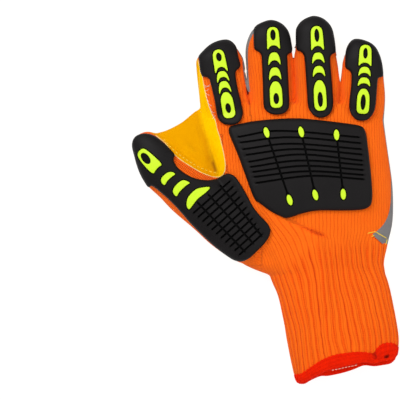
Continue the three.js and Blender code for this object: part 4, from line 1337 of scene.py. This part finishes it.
def below_wrist(margin):
    return slab("below_wrist", BELOW, on_hand(0, 1)[1] + margin)


def beyond_hem():
    """All that lies past the middle of the hem, where the knit ends."""
    first, width, to_right, down = hem_frame()
    middle = (hem_curve(HEM_TOP) + hem_curve(HEM_LIP)) / 2
    line = first + np.outer(HEM_SHARES * width, to_right) + np.outer(middle, down)
    ends = [line[0] - to_right * 60, *line, line[-1] + to_right * 60]
    far = [ends[-1] + down * 80, ends[0] + down * 80]
    return prism("beyond_hem", np.vstack([ends, far]), BELOW, SKY)


def knit_creases(places):
    """Painted shade on the knit: in its folds, in the opening and the slits between two fingers,
    under the wrist's fold, beside the grey strip and along the finger pads.
    """
    dark = deepest_crease(places, [
        *((line, 0.45, 5, 0.36) for line in CROTCHES.values()), (CROTCH_HOLE, 0.75, 1, 1.5),
        (CROTCH_TAIL, 0.4, 2, 0.9), (KNIT_FOLD, 1.1, 6, 0.22), (STRIP_SHADE, 0.45, 0.6, 0.9)])
    # The wedge of painted shadow under the wrist's fold
    wedge = signed_distance(places[:, :2], rounded(on_pattern(FOLD_SHADOW_WEDGE), 1))
    dark = np.maximum(dark, 0.56 * smoothstep(-0.5, 0.6, wedge))
    # Painted shade on the knit along the edges of the finger pads
    for outline in FINGER_PADS.values():
        away = -signed_distance(places[:, :2], on_pattern(outline))
        dark = np.maximum(dark, 0.3 * smoothstep(2.6, 0.2, away))
    return dark * on_back(places)


def leather_creases(places):
    """Painted shade on the leather in its folds and in the hollow at the foot of the web's crease.
    """
    down = in_web(places, 45, 4)
    narrow = crease_shape(places, WEB_CREASE, 0.7, 4)
    wide = crease_shape(places, np.array(WEB_CREASE) - (2.6, 0), 2.6, 8)
    dark = narrow * (0.1 + 0.3 * down ** 3) + wide * (0.1 + 0.26 * down ** 2)
    folds = deepest_crease(places, [
        *((line, 0.9, 6, 0.16) for line in WEB_FOLDS), (WEB_FOLDS[1], 0.7, 4, 0.3),
        (WEB_HOLLOW_SHADE, 1.3, 2.5, 0.95)])
    return np.maximum(dark, folds) * on_back(places)


def web_shade(places):
    """How much of the shade of the web falls on each place."""
    return smoothstep(-1.5, 3, x_on(flowing(on_pattern(WEB_CREASE), 2), places[:, 1])
                      - places[:, 0])


def make_skin():
    """Parts the glove's wall into knit, leather and strips."""
    wall = copied(outer_body(), "wall")
    thickness = sizes().wall / MM
    inner = glove_body("inner", -thickness, **INNER_TUBES)
    moved_to(inner, lifted(places_of(inner) / MM, HEM_CLEARANCE + thickness) * MM)
    spent(wall, "DIFFERENCE", inner, beyond_hem())
    strips = {name: strip_region(name, 0) for name in CROTCHES}
    strips["side_strip"] = side_region(0)
    wider = [strip_region(name, SEAM_GAP) for name in CROTCHES] + [side_region(SEAM_GAP)]
    cuff = below_wrist(SEAM_GAP)

    above = spent(slab("above", SEAM_HEIGHT + SEAM_GAP), "DIFFERENCE", leather_flap(SEAM_GAP))
    cut(above, "DIFFERENCE", *wider)
    spent(above, "UNION", below_wrist(0))
    knit = spent(copied(wall, "knit"), "INTERSECT", above)
    places = places_of(knit) / MM
    # The crease shade mark carries the knit's painted shade
    marked(knit, **knit_marks(places), crease=knit_creases(places))
    finished(knit, 40, knit_finish(), "knit", "knit_back", "knit_cuff")

    upper = spent(slab("upper", SEAM_HEIGHT), "DIFFERENCE", leather_flap(0))
    palm = spent(copied(wall, "palm_leather"), "DIFFERENCE", upper)
    cut(palm, "DIFFERENCE", *wider, cuff)
    thumb = spent(copied(palm, "thumb_leather"), "INTERSECT", thumb_region(0))
    spent(palm, "DIFFERENCE", thumb_region(SEAM_GAP))
    hide = leather_finish()
    for piece, node in ((palm, "leather_palm"), (thumb, "leather_thumb")):
        places = places_of(piece) / MM
        # The crease shade mark and the shade mark carry the leather's painted shade
        marked(piece, crease=leather_creases(places), shade=web_shade(places))
        finished(piece, 40, hide, "leather", node)

    woven = strip_finish()
    for name, region in strips.items():
        strip = spent(copied(wall, "woven_" + name), "INTERSECT", region)
        finished(cut(strip, "DIFFERENCE", cuff), 40, woven, "strip", name)
    discarded(wall, cuff, *wider)


# The moulded pads

def capsule(line, half):
    """A closed outline round a line at a distance."""
    line = np.array(line, float)
    run = unit(np.gradient(line, axis=0))
    side = np.stack([-run[:, 1], run[:, 0]], 1) * half
    start = [line[0] - run[0] * half * 0.8]
    stop = [line[-1] + run[-1] * half * 0.8]
    return np.vstack([line + side, stop, (line - side)[::-1], start])


def filled(outline, holes, rules, loose):
    """Triangles over an outline, with lines and loose points for them to follow."""
    places, edges = [], []
    for loop in [outline, *holes, *rules]:
        first = len(places)
        places += list(loop)
        edges += [(first + i, first + (i + 1) % len(loop)) for i in range(len(loop))]
    places += list(loose)
    found = delaunay_2d_cdt([Vector(place) for place in places], edges, [], 0, 1e-4)
    flat = np.array([(place.x, place.y) for place in found[0]])
    faces = np.array([tuple(face) for face in found[2]])
    middles = flat[faces].mean(axis=1)
    keep = inside(middles, outline)
    for hole in holes:
        keep &= ~inside(middles, hole)
    where = {original: new for new, originals in enumerate(found[3]) for original in originals}
    return flat, faces[keep], where


def lattice(outline, spacing):
    """Loose points in even rows over the space of an outline."""
    low, high = outline.min(axis=0), outline.max(axis=0)
    rows = np.arange(low[1], high[1], spacing * 0.87)
    places = []
    for i, y in enumerate(rows):
        x = np.arange(low[0] + (i % 2) * spacing / 2, high[0], spacing)
        places.append(np.column_stack([x, np.full(len(x), y)]))
    return np.vstack(places)


def plate(name, outline, holes, rules, spacing, radius, top, bottom):
    """A closed moulded plate with a rounded rim, from the heights of its top and underside."""
    loops = [outline, *holes]

    def rim_distance(places):
        return np.min([signed_distance(places, outline),
                       *(-signed_distance(places, hole) for hole in holes)], axis=0)

    loose = []
    for share in (0.15, 0.4, 0.7, 1.0):
        for i, loop in enumerate(loops):
            ring = offset(loop, (-1 if i == 0 else 1) * radius * share)
            loose.append(ring[rim_distance(ring) > radius * share * 0.9])
    grid = lattice(outline, spacing)
    grid = grid[rim_distance(grid) > radius + spacing * 0.45]
    for rule in rules:
        grid = grid[line_distance(grid, rule, closed=True) > spacing * 0.42]
    flat, faces, where = filled(outline, holes, rules, np.vstack([*loose, grid]))
    depth = np.clip(radius - rim_distance(flat), 0, radius)
    z = top(flat) - (radius - np.sqrt(np.maximum(radius ** 2 - depth ** 2, 0)))

    coarse = lattice(outline, spacing * 2.2)
    coarse = coarse[rim_distance(coarse) > spacing]
    under, under_faces, under_where = filled(outline, holes, [], coarse)
    base = len(flat)
    places = np.vstack([np.column_stack([flat, z]), np.column_stack([under, bottom(under)])])
    polygons = [*map(tuple, faces), *map(tuple, base + under_faces[:, ::-1])]
    first = 0
    for loop in loops:
        for i in range(len(loop)):
            a, b = first + i, first + (i + 1) % len(loop)
            polygons.append((where[a], where[b], base + under_where[b], base + under_where[a]))
        first += len(loop)
    piece = from_lists(name, places * MM, polygons)
    return edited(piece, lambda: bpy.ops.mesh.delete_loose(), outward)


def make_pad(name, outline, thickness, grooves, inserts, radius, finishes, moats=()):
    """A pad laid over the glove, and the coloured inserts let into it."""
    rubber, coloured = finishes
    outline = spaced(offset(rounded(on_pattern(outline)), PAD_SPREAD), 0.8)
    lift, rise = PAD_LIFT + thickness / MM, sizes().insert_rise / MM
    inserts = {key: [spaced(loop, 0.5) for loop in loops] for key, loops in inserts.items()}
    grooves = [spaced(line, 1.1, closed=False) for line in grooves]
    rules = [capsule(line, half) for line in grooves for half in (GROOVE_HALF, GROOVE_FLOOR)]
    rules += [offset(loops[0], away) for loops in inserts.values()
              for away in (MOAT_FAR, MOAT_NEAR)]
    rules += [offset(moat, -shrink) for moat in moats for shrink in (0, MOAT_SLOPE)]

    def face(flat):
        return dropped(flat, lift, PAD_LOWEST)

    def hollow(flat):
        shares = [(GROOVE_DEPTH, (GROOVE_HALF - line_distance(flat, line))
                   / (GROOVE_HALF - GROOVE_FLOOR)) for line in grooves]
        shares += [(MOAT_DEPTH, (MOAT_FAR + signed_distance(flat, loops[0]))
                    / (MOAT_FAR - MOAT_NEAR)) for loops in inserts.values()]
        shares += [(MOAT_DEPTH, signed_distance(flat, moat) / MOAT_SLOPE) for moat in moats]
        return np.max([depth * np.clip(share, 0, 1) for depth, share in shares], axis=0)

    pad = plate(name + "_moulding", outline, [], rules, 1.5, radius,
                lambda flat: face(flat) - hollow(flat),
                lambda flat: dropped(flat, PAD_SINK, PAD_LOWEST + 0.5))
    # How deep the top lies in a groove or a moat, for the painted shade there
    upper = normals_of(pad)[:, 2] > -0.2
    depth = hollow(places_of(pad)[:, :2] / MM)
    marked(pad, hollow=upper * depth / GROOVE_DEPTH * 1.3)
    finished(pad, 50, rubber, "pad", name + "_pad")
    for key, loops in inserts.items():
        piece = plate(f"{name}_moulding_{key}", loops[0], loops[1:], [], 0.9, 0.45,
                      lambda flat: face(flat) + rise,
                      lambda flat: face(flat) - MOAT_DEPTH + SEATING)
        finished(piece, 50, coloured, "insert", f"{name}_{key}")


def bowed(middle):
    """The hollow lower edge of an insert, from its corner in to its middle."""
    depth = 1 - middle
    return ((0.88, 1 - depth * 0.1), (0.68, 1 - depth * 0.56), (0.38, 1 - depth * 0.9), (0, middle))


def finger_inserts(finger):
    """The outlines of a finger's inserts, laid along the axis of its pad."""
    top, foot = on_pattern(finger["pad"])
    length = np.linalg.norm(foot - top)
    down = (foot - top) / length
    across = np.array((-down[1], down[0])) * INSERT_HALF
    lean = math.degrees(math.atan2(down[0], -down[1]))
    (tip_hole, base_hole), (ring_bow, chevron_bow) = finger["holes"], finger["bows"]
    chevron = CHEVRON_SHAPE + bowed(chevron_bow)
    kinds = (("tip_ring", RING_SHAPE + bowed(ring_bow), tip_hole),
             ("upper_chevron", chevron, None), ("lower_chevron", chevron, None),
             ("base_ring", LONG_RING_SHAPE, base_hole))
    stops = np.array((0, *finger["inserts"], 1)).reshape(-1, 2) * length
    found = {}
    for (start, stop), (name, shape, hole) in zip(stops, kinds):
        shape, reach = np.array(shape), stop - start
        mirrored = (shape * (-1, 1))[::-1]
        loop = np.vstack([shape, mirrored[(shape[-1, 0] == 0):len(shape) - 1]])
        found[name] = [rounded(top + loop[:, :1] * across + (start + loop[:, 1:] * reach) * down)]
        if hole:
            middle, half_long, half_wide = hole
            found[name].append(ellipse(top + (start + middle * reach) * down,
                                       half_wide * INSERT_HALF, half_long * reach, lean))
    return found


def make_finger_pads():
    finishes = pad_finish(), insert_finish()
    for name, finger in FINGERS.items():
        make_pad(name, FINGER_PADS[name], sizes().pad_thickness, [], finger_inserts(finger),
                 PAD_ROUNDING, finishes)


def make_thumb_pad():
    grooves = [on_pattern(ends) for ends in THUMB_LONG_GROOVES]
    first, last = (on_pattern(ends) for ends in THUMB_CROSS_GROOVES)
    for share in np.arange(CROSS_GROOVE_COUNT) / (CROSS_GROOVE_COUNT - 1):
        grooves.append(first * (1 - share) + last * share)
    middle, (half_long, half_wide), lean = THUMB_RING_HOLE
    hole = ellipse(on_pattern(middle), half_wide * PATTERN_SQUARE, half_long * PATTERN_SQUARE,
                   90 - lean)
    inserts = {"tip_ring": [rounded(on_pattern(THUMB_RING)), hole]}
    inserts.update({key: [rounded(on_pattern(bar))] for key, bar in THUMB_BARS.items()})
    make_pad("thumb", THUMB_PAD, sizes().pad_thickness, grooves, inserts, PAD_ROUNDING,
             (pad_finish(), insert_finish()))


def teardrop(head, foot, lean):
    """The outline of the hollow round a lower stud, drawn out towards its straight groove."""
    up = unit(head - foot)
    sideways = np.array((up[1], -up[0]))
    loop = ellipse(foot, *MOAT_HALVES, lean, 40) - foot
    along, aside = loop @ up, loop @ sideways
    drawn = np.maximum(along, 0) / MOAT_HALVES[1]
    along = along + 2.6 * drawn ** 3
    aside = aside * (1 - 0.4 * drawn ** 2)
    return spaced(foot + np.outer(along, up) + np.outer(aside, sideways), 0.6)


def make_back_pad():
    grooves = [flowing(on_pattern(points), 8) for points in BACK_GROOVES]
    moats = []
    for side in ("left", "middle", "right"):
        foot, lean = BACK_STUDS["lower_" + side]
        head, foot = on_pattern((BACK_STUDS["upper_" + side][0], foot))
        run = unit(foot - head) * STUD_CLEARANCE
        grooves.append(np.array([head + run, foot - run]))
        moats.append(teardrop(head, foot, lean))
    inserts = {f"{key}_stud": [ellipse(on_pattern(place), *STUD_HALVES, lean)]
               for key, (place, lean) in BACK_STUDS.items()}
    make_pad("back", BACK_PAD, sizes().back_pad_thickness, grooves, inserts, BACK_ROUNDING,
             (pad_finish(), insert_finish()), moats)


# The hem

def make_hem():
    """A rolled band of thread round the mouth of the cuff."""
    rows = flowing(HEM_ROLL, 3)
    count, sides = len(rows), 560
    first, width, to_right, down = hem_frame()
    turns = np.linspace(0, math.tau, sides, endpoint=False)
    low, across, up = soft_shape(turns)
    here = (1 + across) / 2
    start, lip, end = (np.interp(here, HEM_SHARES, hem_curve(line))
                       for line in (HEM_TOP, HEM_LIP, HEM_END))
    under = 1 - smoothstep(-0.15, 0.35, np.sin(turns))
    last = lip * (1 - under) + end * under
    height, side = cuff_row(0.95)[2], on_pattern(HEM_SIDE)
    loops = []
    for share, grow in rows:
        flat = first + np.outer(here * width + across * grow, to_right)
        flat += np.outer(start + share * (last - start), down)
        flat[:, 0] = np.minimum(flat[:, 0], x_on(side, flat[:, 1]))
        z = soft_heights(low, up, height - SEAM_HEIGHT + grow, max(0, -grow))
        if grow > 0:
            z = np.where(low, z, np.maximum(z, dropped(flat, 0, 0) + grow))
        loops.append(np.column_stack([flat, z]))
    next_side = (np.arange(sides) + 1) % sides
    corners = np.arange(count * sides).reshape(count, sides)
    below = np.roll(corners, -1, axis=0)
    faces = np.stack([corners, corners[:, next_side], below[:, next_side], below], -1)
    hem = from_lists("hem", np.vstack(loops) * MM, faces.reshape(-1, 4).tolist())
    edited(hem, outward)

    around = run_along(loops[4])
    around *= round(around[-1] / HEM_THREAD) * HEM_THREAD / around[-1]
    course, wale = np.tile(around, count), np.repeat(rows[:, 0] * HEM_WIDTH, sides)
    outer = np.repeat((rows[:, 1] > -0.3) & (np.arange(count) < 18), sides)
    places, normals = places_of(hem) / MM, normals_of(hem)
    above = on_back(places, 3)
    fold = above * crease_shape(places, HEM_FOLD, 1.3, 1)
    hole = above * crease_shape(places, HEM_HOLE, 0.9, 0.5)
    edge = np.exp(-(wale / 0.9) ** 2)
    thread = np.sin(math.tau * (course / HEM_THREAD + wale / 3.2)) * 0.13
    thread += np.sin(math.tau * course / (2 * HEM_THREAD)) * edge * 0.22
    thread += np.sin(course / 5.3) * np.sin(wale / 2.1 + course / 9) * 0.12
    move = np.where(outer, thread, 0) - 1.2 * fold - 1.6 * hole
    places += normals * move[:, None]
    places[:, 2] = np.maximum(places[:, 2], 0)
    moved_to(hem, places * MM)
    # The fold and the hole are dented, and painted with shade through the crease shade mark
    marked(hem, course=course, wale=wale, crease=np.maximum(fold * 0.5, hole * 1.2))
    finished(hem, 60, hem_finish(), "hem", "cuff_hem")


# Threads

def threads(name, lines, radius, material, slot="leather", sides=6):
    """Many short lengths of thread in one piece, each closed at both ends."""
    turns = np.linspace(0, math.tau, sides, endpoint=False)
    places, faces = [], []
    for line in lines:
        line = np.array(line, float)
        run = unit(np.gradient(line, axis=0))
        side = unit(np.cross(run, (0, 0, 1)))
        base, last = len(places), len(line) - 1
        for i, (middle, right, over) in enumerate(zip(line, side, np.cross(side, run))):
            girth = radius * (0.55 if i in (0, last) else 1)
            places += list(middle + np.outer(np.cos(turns) * girth, right)
                           + np.outer(np.sin(turns) * girth, over))
        for start in range(base, base + last * sides, sides):
            for k in range(sides):
                a, b = start + k, start + (k + 1) % sides
                faces.append((a, a + sides, b + sides, b))
        cap = range(base, base + sides)
        faces += [tuple(cap), tuple(corner + last * sides for corner in reversed(cap))]
    piece = from_lists(name, np.array(places) * MM, faces)
    finished(edited(piece, outward), 60, material, slot)


def stitched(line, length=2.1, gap=0.9, under=False):
    """Stitches along a line on the glove, each bowed out of the surface."""
    walked = spaced(line, (length + gap) / 6, closed=False)
    stitches = []
    for i in range(0, len(walked) - 4, 6):
        flat = walked[i:i + 5]
        if not under:
            stitches.append(laid(flat, 0, THREAD_LOWEST, STITCH_BOW))
            continue
        base = np.maximum(raised(flat), 0.36)
        if base.max() <= 1.6:
            stitches.append(np.column_stack([flat, base + UNDER_BOW]))
    return stitches


def make_threads():
    yellow = thread_finish("sewing_thread", tuple(colours().thread))
    seams = stitched(flowing(on_pattern(EDGE_STITCHES), 6))
    for line in WEDGE_STITCHES:
        line = spaced(flowing(on_pattern(line), 6), 0.7, closed=False)
        wave = 0.07 * np.sin(np.arange(len(line)) * 2.4)
        seams.append(laid(line, 0.1, THREAD_LOWEST, wave))
    threads("seam_stitches", seams, SEAM_THREAD, yellow)
    threads("palm_stitches", [stitch for line in palm_lines()
                              for stitch in stitched(line, under=True)], SEAM_THREAD, yellow)

    edge = spaced(flowing(on_pattern(LEATHER_EDGE), 4), 1.0, closed=False)[3:-3]
    raw = laid(edge, 0.05, SEAM_HEIGHT)
    threads("raw_leather_edge", [raw[i:i + 8] for i in range(0, len(raw) - 7, 7)], 0.3,
            thread_finish("raw_edge", (1.0, 0.76, 0.28)), sides=8)
    ends = []
    for line in FRAYED:
        line = flowing(on_pattern(line), 5)
        bow = 0.5 * np.sin(np.linspace(0.2, math.pi, len(line)))
        ends.append(laid(line, 0.1, THREAD_LOWEST, bow))
    threads("frayed_ends", ends, 0.12, thread_finish("frayed_thread", (1.0, 0.86, 0.66)))
    # Pale stitches along the lip of the mouth: partly thread, partly a painted highlight where the
    # lip catches the light
    glint = [stitch + (0, 0, 0.9)
             for stitch in stitched(flowing(on_pattern(HEM_GLINT), 6), 1.6, 0.7)]
    threads("mouth_glint_stitches", glint, 0.22, thread_finish("mouth_glint_thread", (1.0, 0.6, 0.45)), "hem")


# The stage

def make_stage():
    floor = started("floor", bpy.ops.mesh.primitive_grid_add, x_subdivisions=24,
                    y_subdivisions=24, size=6)
    places = places_of(floor)
    places[:, 2] = FLOOR_LEVEL
    moved_to(floor, places)
    floor.data.materials.append(floor_finish())

    def placed(name, data, place):
        piece = bpy.data.objects.new(name, data)
        piece.location = place
        bpy.context.collection.objects.link(piece)
        return piece

    lens = bpy.data.cameras.new("camera")
    lens.lens = CAMERA_LENS
    away = PHOTO_SQUARES * PATTERN_SQUARE * MM * lens.lens / lens.sensor_width
    centre = on_pattern((PHOTO_SQUARES / 2, PHOTO_SQUARES / 2)) * MM
    bpy.context.scene.camera = placed("camera", lens, (*centre, 0.02 + away))

    for name, place, size, power in LIGHTS:
        lamp = bpy.data.lights.new(name, "AREA")
        lamp.size, lamp.energy = size, power
        turn = (-Vector(place)).to_track_quat("-Z", "Y").to_euler()
        placed(name, lamp, place).rotation_euler = turn
    world = bpy.data.worlds.new("studio")
    world.use_nodes = True
    background = world.node_tree.nodes["Background"].inputs
    background["Color"].default_value = (1, 1, 1, 1)
    background["Strength"].default_value = 0.36
    bpy.context.scene.world = world
    bpy.context.scene.view_settings.view_transform = "Standard"


class GLOVE_OT_skin(bpy.types.Operator):
    """Make the knitted shell, the leather and the strips between them"""

    bl_idname = "glove.skin"
    bl_label = "Knit, leather and strips"

    def execute(self, context):
        make_skin()
        return {"FINISHED"}


class GLOVE_OT_hem(bpy.types.Operator):
    """Make the rolled hem of the cuff"""

    bl_idname = "glove.hem"
    bl_label = "Hem"

    def execute(self, context):
        make_hem()
        return {"FINISHED"}


class GLOVE_OT_finger_pads(bpy.types.Operator):
    """Make the pads of the four fingers with their inserts"""

    bl_idname = "glove.finger_pads"
    bl_label = "Finger pads"

    def execute(self, context):
        make_finger_pads()
        return {"FINISHED"}


class GLOVE_OT_thumb_pad(bpy.types.Operator):
    """Make the thumb pad with its tread and inserts"""

    bl_idname = "glove.thumb_pad"
    bl_label = "Thumb pad"

    def execute(self, context):
        make_thumb_pad()
        return {"FINISHED"}


class GLOVE_OT_back_pad(bpy.types.Operator):
    """Make the grooved pad on the back of the hand with its studs"""

    bl_idname = "glove.back_pad"
    bl_label = "Back pad"

    def execute(self, context):
        make_back_pad()
        return {"FINISHED"}


class GLOVE_OT_threads(bpy.types.Operator):
    """Make the stitches, the raw edge of the leather and its frayed ends"""

    bl_idname = "glove.threads"
    bl_label = "Threads"

    def execute(self, context):
        make_threads()
        return {"FINISHED"}


class GLOVE_OT_stage(bpy.types.Operator):
    """Make the floor, the lights and the camera"""

    bl_idname = "glove.stage"
    bl_label = "Stage"

    def execute(self, context):
        make_stage()
        if "outer" in STORE:
            discarded(STORE["outer"])
        STORE.clear()
        return {"FINISHED"}


STEPS = (GLOVE_OT_skin, GLOVE_OT_hem, GLOVE_OT_finger_pads, GLOVE_OT_thumb_pad,
         GLOVE_OT_back_pad, GLOVE_OT_threads, GLOVE_OT_stage)


class GLOVE_PT_panel(bpy.types.Panel):
    """The glove's steps, sizes and colours"""

    bl_idname = "GLOVE_PT_panel"
    bl_label = "Anti-vibration glove"
    bl_space_type = "VIEW_3D"
    bl_region_type = "UI"
    bl_category = "Glove"

    def draw(self, context):
        column = self.layout.column()
        for step in STEPS:
            column.operator(step.bl_idname)
        for group in (context.scene.glove_sizes, context.scene.glove_colours):
            for name in group.__annotations__:
                column.prop(group, name)


CLASSES = (GloveSizes, GloveColours, *STEPS, GLOVE_PT_panel)


def register():
    for item in CLASSES:
        bpy.utils.register_class(item)
    bpy.types.Scene.glove_sizes = bpy.props.PointerProperty(type=GloveSizes)
    bpy.types.Scene.glove_colours = bpy.props.PointerProperty(type=GloveColours)


def unregister():
    del bpy.types.Scene.glove_colours
    del bpy.types.Scene.glove_sizes
    for item in reversed(CLASSES):
        bpy.utils.unregister_class(item)


def main():
    register()
    bpy.ops.glove.skin()
    bpy.ops.glove.hem()
    bpy.ops.glove.finger_pads()
    bpy.ops.glove.thumb_pad()
    bpy.ops.glove.back_pad()
    bpy.ops.glove.threads()
    bpy.ops.glove.stage()


if __name__ == "__main__":
    main()
